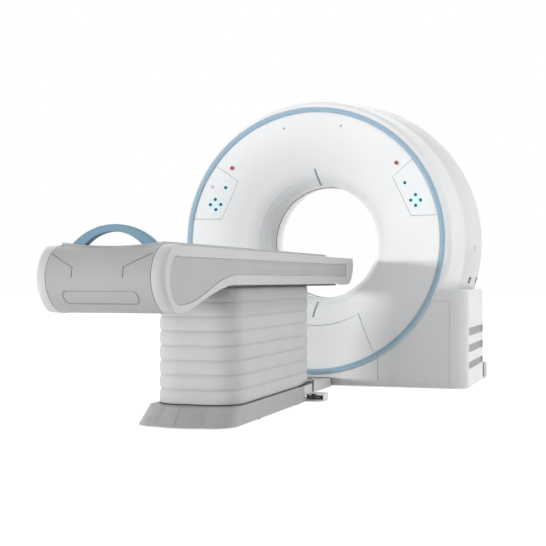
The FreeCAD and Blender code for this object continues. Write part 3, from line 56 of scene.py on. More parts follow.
LENS_PX = 1100.0
IMAGE_PX = 546.0
SENSOR = 36.0
cam_data = bpy.data.cameras.new("camera")
cam_data.sensor_width = SENSOR
cam_data.lens = LENS_PX / IMAGE_PX * SENSOR
cam_data.clip_end = 200.0
camera = bpy.data.objects.new("camera", cam_data)
camera.location = (2.0536, -6.0941, 0.7085)
camera.rotation_euler = (math.radians(90.393), 0.0, 0.31405)
bpy.context.scene.collection.objects.link(camera)
bpy.context.scene.camera = camera
bpy.context.scene.view_settings.view_transform = "Standard"


# ------------------------------------------------------------------ node helpers

def srgb(r, g, b):
    """Linear colour of an sRGB triple from 0 to 1."""
    def lin(c):
        return c / 12.92 if c <= 0.04045 else ((c + 0.055) / 1.055) ** 2.4
    return (lin(r), lin(g), lin(b), 1.0)


def scaled(colour, factor):
    return tuple(c * factor for c in colour[:3]) + (1.0,)


MAP_ENDS = ("From Min", "From Max", "To Min", "To Max")


class Graph:
    """A material with its Principled shader and short calls for the nodes round it."""

    def __init__(self, name):
        self.mat = bpy.data.materials.new(name)
        self.mat.use_nodes = True
        self.tree = self.mat.node_tree
        self.shader = self.tree.nodes["Principled BSDF"]
        self.out = self.tree.nodes["Material Output"]
        coord = self.tree.nodes.new("ShaderNodeTexCoord")
        self.place = coord.outputs["Object"]

    def node(self, kind, **values):
        made = self.tree.nodes.new("ShaderNode" + kind)
        for key, value in values.items():
            setattr(made, key, value)
        return made

    def link(self, a, b):
        self.tree.links.new(a, b)

    def feed(self, socket, value):
        if isinstance(value, (int, float, tuple)):
            socket.default_value = value
        else:
            self.link(value, socket)

    def stretched(self, factors):
        """Object coordinates stretched by three factors."""
        made = self.node("Mapping")
        made.inputs["Scale"].default_value = factors
        self.link(self.place, made.inputs["Vector"])
        return made.outputs[0]

    def noise(self, scale, detail=3.0, rough=0.5, where=None):
        made = self.node("TexNoise")
        made.inputs["Scale"].default_value = scale
        made.inputs["Detail"].default_value = detail
        made.inputs["Roughness"].default_value = rough
        self.link(where or self.place, made.inputs["Vector"])
        return made.outputs[0]

    def wave(self, scale, axis):
        made = self.node("TexWave", wave_type="BANDS", wave_profile="SIN")
        made.bands_direction = axis
        made.inputs["Scale"].default_value = scale
        made.inputs["Detail"].default_value = 1.0
        self.link(self.place, made.inputs["Vector"])
        return made.outputs["Fac"]

    def ramp(self, value, low, high, to_low=0.0, to_high=1.0):
        made = self.node("MapRange", interpolation_type="SMOOTHSTEP")
        made.clamp = True
        for name, number in zip(MAP_ENDS, (low, high, to_low, to_high)):
            made.inputs[name].default_value = number
        self.link(value, made.inputs["Value"])
        return made.outputs[0]

    def math(self, operation, a, b=0.0):
        made = self.node("Math", operation=operation)
        self.feed(made.inputs[0], a)
        self.feed(made.inputs[1], b)
        return made.outputs[0]

    def mix(self, share, a, b):
        made = self.node("Mix", data_type="RGBA", blend_type="MIX")
        self.feed(made.inputs[0], share)
        self.feed(made.inputs[6], a)
        self.feed(made.inputs[7], b)
        return made.outputs[2]

    def split(self):
        made = self.node("SeparateXYZ")
        self.link(self.place, made.inputs[0])
        return made.outputs

    def away(self, point, mirrored=True):
        """Distance, in front view, from a point in mm, measured on both halves alike when mirrored."""
        x, _, z = self.split()
        across = self.math("SUBTRACT", self.math("ABSOLUTE", x) if mirrored else x, point[0] * MM)
        up = self.math("SUBTRACT", z, point[1] * MM)
        squares = self.math("MULTIPLY", across, across), self.math("MULTIPLY", up, up)
        return self.math("SQRT", self.math("ADD", *squares))

    def bump(self, height, strength, distance, below=None):
        made = self.node("Bump")
        made.inputs["Strength"].default_value = strength
        made.inputs["Distance"].default_value = distance
        self.link(height, made.inputs["Height"])
        if below is not None:
            self.link(below, made.inputs["Normal"])
        return made.outputs[0]

    def set(self, **values):
        for key, value in values.items():
            self.feed(self.shader.inputs[key.replace("_", " ")], value)


# ------------------------------------------------------------------ finishes

def handled(g, colour, drift, wear=0.5, dust_top=0.16):
    """Colour with slow tonal drift, faint rubbed patches, fine speckle and floor dust near z = 0."""
    tone = g.mix(g.ramp(g.noise(1.7, 3.0), 0.3, 0.7), colour, scaled(colour, 1.0 - drift))
    rubbed = g.ramp(g.noise(9.0, 6.0, 0.65), 0.6, 0.8, 0.0, 0.4 * wear)
    tone = g.mix(rubbed, tone, scaled(colour, 0.93))
    speck = g.ramp(g.noise(310.0, 2.0, 0.7), 0.66, 0.8, 0.0, 0.35 * wear)
    tone = g.mix(speck, tone, scaled(colour, 0.88))
    low = g.ramp(g.split()[2], 0.0, dust_top, 1.0, 0.0)
    dust = g.math("MULTIPLY", low, g.ramp(g.noise(24.0, 5.0, 0.7), 0.42, 0.72, 0.0, 0.45))
    return g.mix(dust, tone, scaled(colour, 0.74))


def surface(g, colour, rough, grain, relief, coat):
    """Fine grain over a soft unevenness, with uneven gloss and hairline scratches."""
    haze = g.noise(5.0, 4.0, 0.6)
    hair = g.ramp(g.noise(60.0, 2.0, 0.5, g.stretched((0.6, 9.0, 9.0))), 0.68, 0.76, 0.0, 0.08)
    g.set(Base_Color=colour, Roughness=g.math("ADD", g.ramp(haze, 0.3, 0.75, rough - 0.05, rough + 0.06), hair))
    g.set(Coat_Weight=coat, Coat_Roughness=0.12, IOR=1.46)
    fine = g.bump(g.noise(grain, 2.0), relief, 0.0004)
    g.set(Normal=g.bump(g.noise(95.0, 2.0, 0.4), relief * 0.8, 0.0006, fine))


def moulding(name, colour, rough, grain=900.0, relief=0.05, coat=0.0, drift=0.03, wear=0.5):
    """Injection-moulded or painted cover."""
    g = Graph(name)
    surface(g, handled(g, colour, drift, wear), rough, grain, relief, coat)
    return g.mat


def metal(name, colour, rough, brushed=(1.0, 1.0, 1.0), relief=0.08):
    """Worked metal: streaks along one direction, uneven gloss and a dulled tone in patches."""
    g = Graph(name)
    streak = g.noise(160.0, 3.0, 0.6, g.stretched(brushed))
    patch = g.ramp(g.noise(7.0, 5.0, 0.6), 0.35, 0.7, 0.0, 0.7)
    g.set(Base_Color=g.mix(patch, colour, scaled(colour, 0.72)), Metallic=1.0)
    g.set(Roughness=g.ramp(streak, 0.3, 0.7, rough - 0.07, rough + 0.1))
    g.set(Normal=g.bump(streak, relief, 0.0003))
    return g.mat


KEYS = ((633, 1357), (706, 1276), (672, 1241), (741, 1240), (706, 1205))


def panel_membrane(name):
    """Printed membrane: a pale glow round every key and in the middle of the key group."""
    g = Graph(name)
    tone = handled(g, srgb(0.925, 0.935, 0.94), 0.02, 0.3)
    glow = g.ramp(g.away((706, 1240)), 0.012, 0.052, 0.75, 0.0)
    for key in KEYS:
        glow = g.math("MAXIMUM", glow, g.ramp(g.away(key), 0.014, 0.027, 0.9, 0.0))
    tone = g.mix(glow, tone, srgb(0.84, 0.965, 0.985))
    surface(g, tone, 0.36, 900.0, 0.05, 0.2)
    return g.mat


def ring_plastic(name):
    """Tinted trim, deeper in the middle of its width, with painted highlights that make both rounded rims paler.
    """
    g = Graph(name)
    tone = handled(g, srgb(0.59, 0.705, 0.785), 0.03, 0.3)
    r = g.away((0, BORE_Z), False)
    # Painted highlights: paler bands on the inner and outer rounded rims.
    inner, outer = g.ramp(r, 0.871, 0.878, 0.55, 0.0), g.ramp(r, 0.893, 0.901, 0.0, 0.45)
    tone = g.mix(g.math("MAXIMUM", inner, outer), tone, srgb(0.74, 0.84, 0.90))
    surface(g, tone, 0.3, 900.0, 0.04, 0.3)
    return g.mat


CLOTH_SHADE_Z = (0.50, 0.59)    # heights in metres between which painted shade darkens the cloth under the couch


def coated_cloth(name):
    """Coated cloth: a fine weave, painted shade in the creases and on the top folds under the couch, softer gloss
    where it has been rubbed.
    """
    g = Graph(name)
    colour = srgb(0.80, 0.803, 0.807)
    tone = g.mix(g.ramp(g.noise(3.0, 4.0, 0.6), 0.3, 0.7), colour, scaled(colour, 0.965))
    crease = g.node("Attribute", attribute_name="crease")
    # Painted shade in the creases, uneven along them.
    crease_shade = g.math("MULTIPLY", crease.outputs["Fac"], g.ramp(g.noise(14.0, 4.0, 0.6), 0.2, 0.8, 0.35, 0.85))
    tone = g.mix(crease_shade, tone, scaled(colour, 0.76))
    # Painted shade: the cloth darkens towards its top, where the couch shades it.
    tone = g.mix(g.ramp(g.split()[2], *CLOTH_SHADE_Z, 0.0, 0.85), tone, scaled(colour, 0.76))
    weave = g.math("MULTIPLY", g.wave(240.0, "Z"), g.wave(240.0, "DIAGONAL"))
    tone = g.mix(g.ramp(weave, 0.0, 0.6, 0.10, 0.0), tone, scaled(colour, 0.88))
    g.set(Base_Color=tone, Roughness=g.ramp(g.noise(6.0, 4.0, 0.6), 0.3, 0.7, 0.5, 0.64))
    g.set(Sheen_Weight=0.08, Sheen_Roughness=0.5)
    folds = g.bump(g.noise(22.0, 3.0, 0.55), 0.25, 0.004)
    g.set(Normal=g.bump(weave, 0.22, 0.0004, folds))
    return g.mat


def table_skin(name):
    """Laminate: a fine woven core seen through a clear coat, darker in patches."""
    g = Graph(name)
    colour = srgb(0.70, 0.705, 0.71)
    weave = g.math("ADD", g.wave(60.0, "X"), g.wave(60.0, "Y"))
    tone = g.mix(g.ramp(weave, 0.4, 1.6), scaled(colour, 0.96), colour)
    tone = g.mix(g.ramp(g.noise(5.0, 5.0, 0.65), 0.55, 0.8, 0.0, 0.4), tone, scaled(colour, 0.88))
    g.set(Base_Color=tone, Roughness=g.ramp(g.noise(9.0, 4.0), 0.3, 0.7, 0.34, 0.46), Coat_Weight=0.3)
    g.set(Coat_Roughness=0.15, Normal=g.bump(weave, 0.05, 0.0003))
    return g.mat


def ribbed_rubber(name):
    g = Graph(name)
    tone = handled(g, srgb(0.20, 0.20, 0.21), 0.1, 1.0)
    surface(g, tone, 0.62, 500.0, 0.3, 0.0)
    return g.mat


def key_caps(name):
    """Silicone keys, the outer upper one of the left panel in a warm tone."""
    g = Graph(name)
    warm = g.ramp(g.away((-722, 1362), False), 0.018, 0.022, 1.0, 0.0)
    tone = g.mix(warm, handled(g, srgb(0.14, 0.37, 0.44), 0.03, 0.5), srgb(0.86, 0.73, 0.76))
    surface(g, tone, 0.45, 900.0, 0.1, 0.0)
    return g.mat


WHITE = srgb(0.93, 0.935, 0.94)
finishes = {}
finishes["white_cover"] = moulding("white_cover_paint", WHITE, 0.36, coat=0.2)
finishes["grey_cover"] = moulding("grey_cover_moulding", srgb(0.90, 0.902, 0.90), 0.5, relief=0.1)
finishes["light_grey_cover"] = moulding("light_grey_moulding", srgb(0.79, 0.792, 0.795), 0.48, relief=0.1)
finishes["panel_grey"] = panel_membrane("panel_membrane")
finishes["key_teal"] = key_caps("key_silicone")
finishes["stop_red"] = moulding("stop_red_plastic", srgb(0.70, 0.22, 0.30), 0.3, coat=0.4)
finishes["blue_trim"] = ring_plastic("blue_trim_plastic")
finishes["grille_grey"] = moulding("grille_moulding", srgb(0.70, 0.705, 0.71), 0.5, relief=0.1)
finishes["dark_plastic"] = moulding("dark_moulding", srgb(0.20, 0.205, 0.21), 0.5, relief=0.12)
finishes["window_film"] = moulding("window_film_grey", srgb(0.62, 0.63, 0.64), 0.25, coat=0.4)
finishes["frame_paint"] = moulding("frame_powder_coat", srgb(0.42, 0.44, 0.47), 0.55, 500.0, 0.2)
finishes["zinc_steel"] = metal("zinc_plate", srgb(0.76, 0.77, 0.78), 0.35)
finishes["bearing_steel"] = metal("ground_steel", srgb(0.74, 0.75, 0.76), 0.25, (0.2, 3.0, 0.2))
finishes["cast_aluminium"] = metal("cast_aluminium_skin", srgb(0.80, 0.81, 0.82), 0.45, relief=0.2)
finishes["light_metal"] = moulding("light_enamel", srgb(0.86, 0.865, 0.87), 0.4, relief=0.1)
finishes["coil_copper"] = metal("lacquered_copper", srgb(0.74, 0.45, 0.30), 0.3, (0.3, 5.0, 0.3))
finishes["slip_brass"] = metal("polished_brass", srgb(0.85, 0.70, 0.40), 0.2, (0.2, 6.0, 0.2))
finishes["bellows_fabric"] = coated_cloth("bellows_cloth")
finishes["pedal_rubber"] = ribbed_rubber("pedal_rubber_skin")
finishes["couch_white"] = moulding("couch_moulding", srgb(0.785, 0.788, 0.79), 0.4, coat=0.15)
finishes["inset_grey"] = moulding("inset_moulding", srgb(0.71, 0.713, 0.715), 0.46, relief=0.08)
finishes["table_laminate"] = table_skin("table_skin")

# Nodes whose tone differs from that of their slot.
own = {"couch_base_cover": moulding("foot_cover_moulding", srgb(0.695, 0.70, 0.70), 0.52, relief=0.1,
                                    wear=1.0),
       "barrel_cover": moulding("barrel_moulding", srgb(0.682, 0.684, 0.687), 0.46, relief=0.08),
       "table_handle": moulding("handle_moulding", srgb(0.47, 0.60, 0.68), 0.5, wear=0.8),
       # Painted shade: the outer shell and the side covers wear darker copies of the white cover paint.
       "outer_shell": moulding("shell_paint_shaded_copy", srgb(0.885, 0.89, 0.895), 0.36, coat=0.2),
       "side_covers": moulding("side_cover_paint_shaded_copy", srgb(0.895, 0.90, 0.905), 0.36, coat=0.2),
       "foot_pedal": moulding("treadle_moulding", srgb(0.50, 0.505, 0.51), 0.55, grain=500.0, relief=0.3,
                              wear=1.0),
       "link_cover": moulding("link_cover_moulding", srgb(0.88, 0.882, 0.884), 0.5, relief=0.1,
                              wear=1.0)}
for node, obj in nodes.items():
    for held in obj.material_slots:
        held.material = own.get(node) or finishes[held.material.name.split(".")[0]]


# ------------------------------------------------------------------ small pieces

def piece(name, points, faces, body, slot, finish=None):
    """A mesh piece in row-frame metres that rides a body and wears a slot's finish."""
    mesh = bpy.data.meshes.new(name)
    mesh.from_pydata([tuple(p) for p in points], [], faces)
    mesh.update()
    mesh.materials.append(finish or finishes[slot])
    mesh.polygons.foreach_set("use_smooth", [True] * len(mesh.polygons))
    made = bpy.data.objects.new(name, mesh)
    bpy.context.scene.collection.objects.link(made)
    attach(made, body)
    return made


def stitched(loops, closed_start=True, closed_end=True):
    """Faces between successive loops of equal length, with flat ends."""
    n = len(loops[0])
    points = [p for loop in loops for p in loop]
    faces = []
    for i in range(len(loops) - 1):
        a, b = i * n, (i + 1) * n
        faces += [(a + k, a + (k + 1) % n, b + (k + 1) % n, b + k) for k in range(n)]
    if closed_start:
        faces.append(tuple(reversed(range(n))))
    if closed_end:
        faces.append(tuple(range((len(loops) - 1) * n, len(loops) * n)))
    return points, faces


def band(loops):
    """A closed band: the last loop is joined to the first."""
    points, faces = stitched(loops, False, False)
    n, last = len(loops[0]), (len(loops) - 1) * len(loops[0])
    faces += [(last + k, last + (k + 1) % n, (k + 1) % n, k) for k in range(n)]
    return points, faces


def joined(parts):
    """Several (points, faces) as one."""
    points, faces = [], []
    for p, f in parts:
        base = len(points)
        points += p
        faces += [tuple(i + base for i in face) for face in f]
    return points, faces


def socket_screw(place, direction, r=6.0):
    """Button-head screw: domed head with a six-sided socket."""
    w = Vector(direction).normalized()
    u = w.orthogonal().normalized()
    v = w.cross(u)
    loops = []
    for share, h in ((1.0, 0.0), (1.0, 0.5), (0.93, 1.3), (0.78, 1.9), (0.55, 2.2)):
        loops.append([place + (u * math.cos(a) + v * math.sin(a)) * r * share * MM + w * h * MM
                      for a in (math.pi * k / 12 for k in range(24))])
    for share, h in ((0.46, 2.25), (0.44, 0.9)):
        ring = []
        for k in range(24):
            a = math.pi * k / 12
            flat = math.cos(math.pi / 6) / math.cos((a % (math.pi / 3)) - math.pi / 6)
            ring.append(place + (u * math.cos(a) + v * math.sin(a)) * r * share * flat * MM + w * h * MM)
        loops.append(ring)
    return stitched(loops)


def rounded(half_u, half_v, r, steps=6):
    """Corner-rounded rectangle about the origin, as (u, v) pairs in mm."""
    loop = []
    for cu, cv, start in ((1, 1, 0), (-1, 1, 90), (-1, -1, 180), (1, -1, 270)):
        for k in range(steps + 1):
            a = math.radians(start + 90 * k / steps)
            loop.append((cu * (half_u - r) + r * math.cos(a), cv * (half_v - r) + r * math.sin(a)))
    return loop


# ------------------------------------------------------------------ bellows

HALF_X = 228.0
Y_FRONT, Y_REAR = -2125.0, -800.0
FRONT_R, REAR_R = 140.0, 90.0
Z_LOW, Z_HIGH = 92.3, 676.7


def bellows_plan():
    """Plan of the bellows at its folds' crests: points with outward normals, mm."""
    half = []

    def run(a, b, count, normal):
        for k in range(count):
            t = k / count
            half.append((a[0] + (b[0] - a[0]) * t, a[1] + (b[1] - a[1]) * t, normal))

    def arc(cx, cy, r, start, count):
        for k in range(count):
            a = math.radians(start + 90 * k / count)
            half.append((cx + r * math.cos(a), cy + r * math.sin(a), (math.cos(a), math.sin(a))))

    run((0, Y_FRONT), (HALF_X - FRONT_R, Y_FRONT), 6, (0, -1))
    arc(HALF_X - FRONT_R, Y_FRONT + FRONT_R, FRONT_R, -90, 16)
    run((HALF_X, Y_FRONT + FRONT_R), (HALF_X, Y_REAR - REAR_R), 48, (1, 0))
    arc(HALF_X - REAR_R, Y_REAR - REAR_R, REAR_R, 0, 10)
    run((HALF_X - REAR_R, Y_REAR), (0, Y_REAR), 9, (0, 1))
    mirrored = [(-x, y, (-n[0], n[1])) for x, y, n in reversed(half[1:])]
    return half + [(0.0, Y_REAR, (0, 1))] + mirrored


# One fold from crease to crease: share of its height and share of its full depth.
FOLD = ((0.0, 1.0), (0.035, 0.66), (0.09, 0.36), (0.18, 0.15), (0.30, 0.04), (0.44, 0.0), (0.58, 0.03),
        (0.70, 0.10), (0.81, 0.22), (0.90, 0.42), (0.965, 0.70))


def sleeve(name, body, folds, z0, z1, rest_inset, depth, thick, sag):
    """Pleated sleeve with an inner wall: soft crests, sharp creases, slightly uneven as cloth is."""
    plan = bellows_plan()
    levels = [(i + t, share) for i in range(folds) for t, share in FOLD] + [(float(folds), 1.0)]
    outer, inner, creases = [], [], []
    for where, share in levels:
        z = z0 + (z1 - z0) * where / folds
        out_ring, in_ring = [], []
        held = min(1.0, 4.0 * min(where, folds - where))
        for x, y, n in plan:
            slow = noise.noise(Vector((x * 0.006, y * 0.006, math.floor(where - 0.02) * 3.7 + 11.0)))
            quick = noise.noise(Vector((x * 0.021, y * 0.021, where * 2.3)))
            pucker = noise.noise(Vector((x * 0.05, y * 0.05, where * 1.3 + 40.0))) * abs(n[0] * n[1]) * 2.0
            push = held * (sag * (0.5 + 0.5 * slow) + 0.55 * quick * (1.0 - 0.5 * share)
                           + 0.8 * pucker * (1.0 - share))
            inset = rest_inset + depth * share + max(0.0, push + 0.5)
            drop = held * sag * 0.9 * slow
            out_ring.append(at(x - n[0] * inset, y - n[1] * inset, z - drop))
            in_ring.append(at(x - n[0] * (inset + thick), y - n[1] * (inset + thick), z - drop))
            creases.append(max(0.0, (share - 0.45) / 0.55))
        outer.append(out_ring)
        inner.append(in_ring)
    made = piece(name, *band(outer + list(reversed(inner))), body, "bellows_fabric")
    # The crease mask marks where the cloth's material paints shade into the creases.
    mask = made.data.attributes.new("crease", "FLOAT", "POINT")
    mask.data.foreach_set("value", creases + list(reversed(creases)))
    return made


cloth = sleeve("bellows_cloth", "base", 8, Z_LOW, Z_HIGH, 0.0, 9.5, 1.4, 1.1)
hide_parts("bellows")
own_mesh(cloth)
sleeve("bellows_collar", "couch_top", 4, 545.0, Z_HIGH - 0.4, 15.5, 5.0, 1.2, 0.3)

# Rubber edging that seals the foot of the bellows on the cover's ledge; its dark tone also stands in for the
# shadow line in the gap there.
edging = []
for inset, z in ((3.0, 92.2), (1.6, 93.2), (1.6, 95.6), (3.0, 97.0), (7.5, 97.0), (7.5, 92.2)):
    edging.append([at(x - n[0] * inset, y - n[1] * inset, z) for x, y, n in bellows_plan()])
piece("bellows_seal_and_shadow_line", *band(edging), "base", "dark_plastic")


# ------------------------------------------------------------------ casing details

def shell_r(y):
    """Radius of the outer casing at a distance behind the ring plane."""
    spots = ((400.0, 982.0), (560.0, 1011.0), (720.0, 1033.0), (818.0, 1035.0))
    for (a, ra), (b, rb) in zip(spots, spots[1:]):
        if y <= b:
            return ra + (rb - ra) * (y - a) / (b - a)
    return spots[-1][1]


def on_shell(side, y, z, lift):
    """A point of the casing's side, lifted off it."""
    r = shell_r(y) + lift
    up = z - BORE_Z
    return at(side * math.sqrt(r * r - up * up), y, z)


def shell_patch(side, y, z, loops):
    """Loops of (u, v, lift) laid on the casing's side, u along the body and v upwards."""
    rows = [[on_shell(side, y + side * u, z + v, lift) for u, v, lift in loop] for loop in loops]
    return stitched(rows, False, True)


def raised(half_u, half_v, r, heights, shift=(0.0, 0.0)):
    """Loops of a rounded plate: (inset, lift) pairs from its rim to its middle."""
    loops = []
    for inset, lift in heights:
        outline = rounded(half_u - inset, half_v - inset, max(r - inset, 0.6))
        loops.append([(u + shift[0], v + shift[1], lift) for u, v in outline])
    return loops


LATCH_YS, LATCH_Z = (600.0, 800.0), 711
PLUG_Y, PLUG_Z, PLUG_R = 620, 939, 22
bezel = raised(30, 23, 7, ((0, 0.0), (0.2, 1.0), (1.0, 1.5), (2.4, 1.5)))
pit = raised(27.8, 20.8, 5.4, ((0, 1.1), (0.2, 1.6), (0.4, 1.62), (3, 1.62)))
lever = raised(5.5, 11, 3.5, ((0, 1.6), (0.3, 3.0), (1.6, 3.8), (3.2, 4.0)), (4.5, -5.0))
cap = raised(PLUG_R, PLUG_R, PLUG_R, ((0, 0.0), (0.3, 0.9), (1.4, 1.6), (8, 2.2), (16, 2.4)))
bezels, pits, levers, caps = [], [], [], []
for side in (1, -1):
    for y in LATCH_YS:
        bezels.append(shell_patch(side, y, LATCH_Z, bezel))
        pits.append(shell_patch(side, y, LATCH_Z, pit))
        levers.append(shell_patch(side, y, LATCH_Z, lever))
    caps.append(shell_patch(side, PLUG_Y, PLUG_Z, cap))
piece("latch_bezels", *joined(bezels), "base", "light_grey_cover")
piece("latch_pits", *joined(pits), "base", "dark_plastic")
piece("latch_levers", *joined(levers), "base", "grey_cover")
piece("hoist_plugs", *joined(caps), "base", "light_grey_cover")

REAR_Y = 850                # rear face of the casing
REAR_SCREW_R = 985          # their circle round the bore axis
screws = []
for degrees in (16, 48, 74, 106, 132, 164):
    a = math.radians(degrees)
    place = at(REAR_SCREW_R * math.cos(a), REAR_Y, BORE_Z + REAR_SCREW_R * math.sin(a))
    screws.append(socket_screw(place, (0, 1, 0)))
for x in (-978, 978):
    for z in (150, 330, 560):
        screws.append(socket_screw(at(x, REAR_Y, z), (0, 1, 0)))
for x in (-960, -320, 320, 960):
    screws.append(socket_screw(at(x, 905, 118.6), (0, 0.03, 1)))
piece("rear_screws", *joined(screws), "base", "zinc_steel")

screws = []
for y in (-2200, -350):
    for x in (-205, 205):
        screws.append(socket_screw(at(x, y, 677.0), (0, 0, -1), 5.0))
piece("tray_screws", *joined(screws), "couch_top", "zinc_steel")


# ------------------------------------------------------------------ floor link, pedal and bore

def block(cx, cz, half_x, half_z, r, steps):
    """A rounded upright outline carried along the couch: (y, inset) pairs in mm."""
    loops = []
    for y, inset in steps:
        outline = rounded(half_x - inset, half_z - inset, max(r - inset, 1.0))
        loops.append([at(cx + u, y, cz + v) for u, v in reversed(outline)])
    return stitched(loops)


# Pleated rubber joint between the link's hood and its plate.
GASKET = ((-492.6, 6), (-491.6, 3), (-490, 1.5), (-488, 4), (-486, 6.5), (-484, 4), (-482, 1.5), (-480.4, 3),
          (-479.4, 6))
piece("link_gasket", *block(0, 39.5, 147.5, 37.5, 14, GASKET), "base", "dark_plastic")

# Rubber lip round the end of the hood, resting on it: distance, half width, top and corner radius.
LIP = ((-503, 151, 88, 15), (-502, 153.5, 90.5, 16), (-481, 153.5, 90.5, 16), (-480, 151, 88, 15),
       (-480, 150.4, 87.4, 14), (-503, 150.4, 87.4, 14))
LIP_LOW = 2
lip = []
for y, half_x, top, r in LIP:
    outline = rounded(half_x, (top - LIP_LOW) / 2, r)
    lip.append([at(u, y, (top + LIP_LOW) / 2 + v) for u, v in reversed(outline)])
piece("link_band", *band(lip), "base", "dark_plastic")

# Collar where the plate meets the gantry.
COLLAR = ((-59.5, 3), (-58.5, 1), (-57, 0), (-40, 0), (-30, 0.6), (-24, 3), (-22, 6))
piece("link_collar", *block(0, 31, 147, 29, 9, COLLAR), "base", "dark_plastic")

# Dark knob on the lip of the pedal's treadle, ribbed round.
KNOB = ((-966, 2), (-966.8, 0.5), (-967.6, 0), (-968.8, 1.2), (-970, 0), (-971.2, 1.2), (-972.4, 0), (-973.6, 1.2),
        (-975, 0.4), (-976.5, 2.5), (-977, 5))
piece("pedal_knob", *block(292, 33, 12.5, 14, 5, KNOB), "pedal", "dark_plastic")

# Dark strips along the rear foot of the bellows: side view, and offsets from its side inwards.
GUARD = ((-1062, 92.4), (-1030, 97), (-990, 103), (-940, 109), (-880, 112), (-840, 112), (-822, 108), (-818, 100),
         (-818, 92.4))
GUARD_Y, GUARD_Z = -925.0, 100.0
guards = []
for side in (1, -1):
    outline = GUARD if side > 0 else tuple(reversed(GUARD))
    loops = []
    for x, inset in ((228.5, 1.5), (229.5, 0.3), (236, 0.0), (238.5, 0.6), (240, 2.4)):
        loop = []
        for y, z in outline:
            along = inset if y < GUARD_Y else -inset
            down = inset if z > GUARD_Z else 0
            loop.append(at(side * x, y + along, z - down))
        loops.append(loop)
    guards.append(stitched(loops))
piece("bellows_foot_dark_strips", *joined(guards), "base", "dark_plastic")

BORE_R = 390.0
MARK_X, MARK_Y, MARK_UP = 80, 302, 380.0    # middle of the mark: across, along, and above the bore axis
ring = nodes["front_bore_ring"]


def bore_surface(x, y):
    """Distance from the bore axis to the ring's inner surface in the direction of x, mm."""
    place, up = at(x, y, BORE_Z + 100), Vector((x, 0.0, MARK_UP)).normalized()
    turn = ring.matrix_world.inverted()
    hit, spot, _, _ = ring.ray_cast(turn @ place, (turn.to_3x3() @ up).normalized())
    if not hit:
        return BORE_R
    spot = ring.matrix_world @ spot - at(0, 0, BORE_Z)
    return math.hypot(spot.x, spot.z) / MM


# Small beige mark at the top of the bore, curved with the ring.
loops = []
for inset, lift in ((0, -0.1), (0, 0.7), (0.6, 1.2), (3.0, 1.3)):
    loop = []
    for u, v in rounded(29 - inset, 7 - inset, max(3 - inset, 0.5)):
        x, y = MARK_X + u, MARK_Y + v
        r = bore_surface(x, y) - lift
        a = math.atan2(MARK_UP, x)
        loop.append(at(r * math.cos(a), y, BORE_Z + r * math.sin(a)))
    loops.append(loop)
piece("bore_mark", *stitched(loops), "base", "light_grey_cover",
      moulding("bore_mark_label", srgb(0.80, 0.735, 0.66), 0.5, relief=0.1))


# ------------------------------------------------------------------ stage and light

FLOOR_HALF = 60.0           # metres
FLOOR_GLOW = 0.72           # seen by the camera only, so that the floor reads as white paper
SKY = ((22, 1.9), (125, 1.55), (262, 0.9))      # bearing from +X and strength of each side of the studio


def stage_floor():
    mesh = bpy.data.meshes.new("floor")
    corners = [(x * FLOOR_HALF, y * FLOOR_HALF, 0.0) for x, y in ((-1, -1), (1, -1), (1, 1), (-1, 1))]
    mesh.from_pydata(corners, [], [(0, 1, 2, 3)])
    floor = bpy.data.objects.new("floor", mesh)
    bpy.context.scene.collection.objects.link(floor)
    g = Graph("floor_paper")
    g.set(Base_Color=srgb(0.94, 0.94, 0.94), Roughness=0.9, Specular_IOR_Level=0.05)
    rays = g.node("LightPath")
    seen = g.math("MAXIMUM", rays.outputs["Is Camera Ray"], rays.outputs["Is Glossy Ray"])
    seen = g.math("MAXIMUM", seen, rays.outputs["Is Transmission Ray"])
    glow = g.node("Emission")
    g.feed(glow.inputs["Strength"], g.math("MULTIPLY", seen, FLOOR_GLOW))
    both = g.node("AddShader")
    g.link(g.shader.outputs[0], both.inputs[0])
    g.link(glow.outputs[0], both.inputs[1])
    g.link(both.outputs[0], g.out.inputs["Surface"])
    mesh.materials.append(g.mat)


stage_floor()

world = bpy.data.worlds.new("studio")
bpy.context.scene.world = world
world.use_nodes = True
tree = world.node_tree


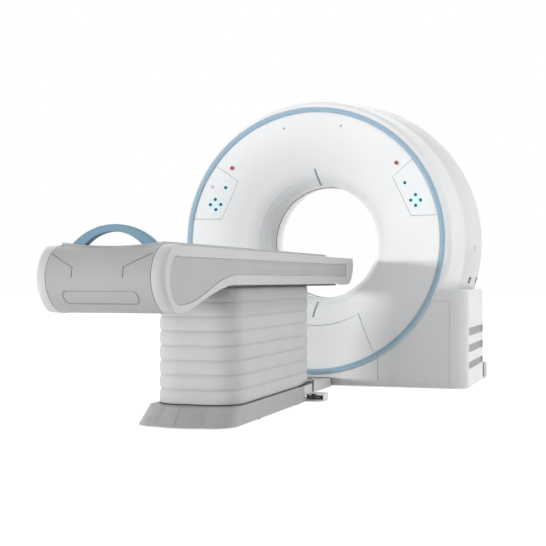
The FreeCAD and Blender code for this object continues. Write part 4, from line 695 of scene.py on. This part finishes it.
def world_node(kind, **values):
    made = tree.nodes.new("ShaderNode" + kind)
    for key, value in values.items():
        setattr(made, key, value)
    return made


def world_range(value, low, high, to_low, to_high):
    made = world_node("MapRange", interpolation_type="SMOOTHSTEP")
    for name, number in zip(MAP_ENDS, (low, high, to_low, to_high)):
        made.inputs[name].default_value = number
    tree.links.new(value, made.inputs["Value"])
    return made.outputs[0]


def lobe(degrees, strength):
    """Light from one side of the studio, strongest at that bearing from +X."""
    a = math.radians(degrees)
    made = world_node("VectorMath", operation="DOT_PRODUCT")
    tree.links.new(coord.outputs["Generated"], made.inputs[0])
    made.inputs[1].default_value = (math.cos(a), math.sin(a), 0.0)
    return world_range(made.outputs["Value"], 0.4, 0.95, 0.0, strength)


coord = world_node("TexCoord")
level = None
for degrees, strength in SKY:
    side = lobe(degrees, strength)
    if level is None:
        level = side
        continue
    total = world_node("Math", operation="ADD")
    tree.links.new(level, total.inputs[0])
    tree.links.new(side, total.inputs[1])
    level = total.outputs[0]
paths = world_node("LightPath")
shown = world_node("Mix", data_type="FLOAT")
tree.links.new(paths.outputs["Is Camera Ray"], shown.inputs[0])
tree.links.new(level, shown.inputs[2])
shown.inputs[3].default_value = 1.0
back = tree.nodes["Background"]
back.inputs["Color"].default_value = (1.0, 1.0, 1.0, 1.0)
tree.links.new(shown.outputs[0], back.inputs["Strength"])


def lamp(name, toward, distance, aim, wide, tall, power):
    """A soft box that far from its aim, in the given direction."""
    data = bpy.data.lights.new(name, "AREA")
    data.shape = "RECTANGLE"
    data.size, data.size_y = wide, tall
    data.energy = power
    made = bpy.data.objects.new(name, data)
    direction = Vector(toward).normalized()
    made.location = Vector(aim) + direction * distance
    made.rotation_euler = (-direction).to_track_quat("-Z", "Y").to_euler()
    made.visible_camera = made.visible_glossy = False
    bpy.context.scene.collection.objects.link(made)


lamp("key", (-0.59, -0.81, 0.045), 20.0, (0.2, 0.0, 0.9), 5.0, 1.3, 2115.0)
lamp("over", (0.0, 0.0, 1.0), 7.0, (0.0, -1.0, 0.0), 7.0, 7.0, 198.0)
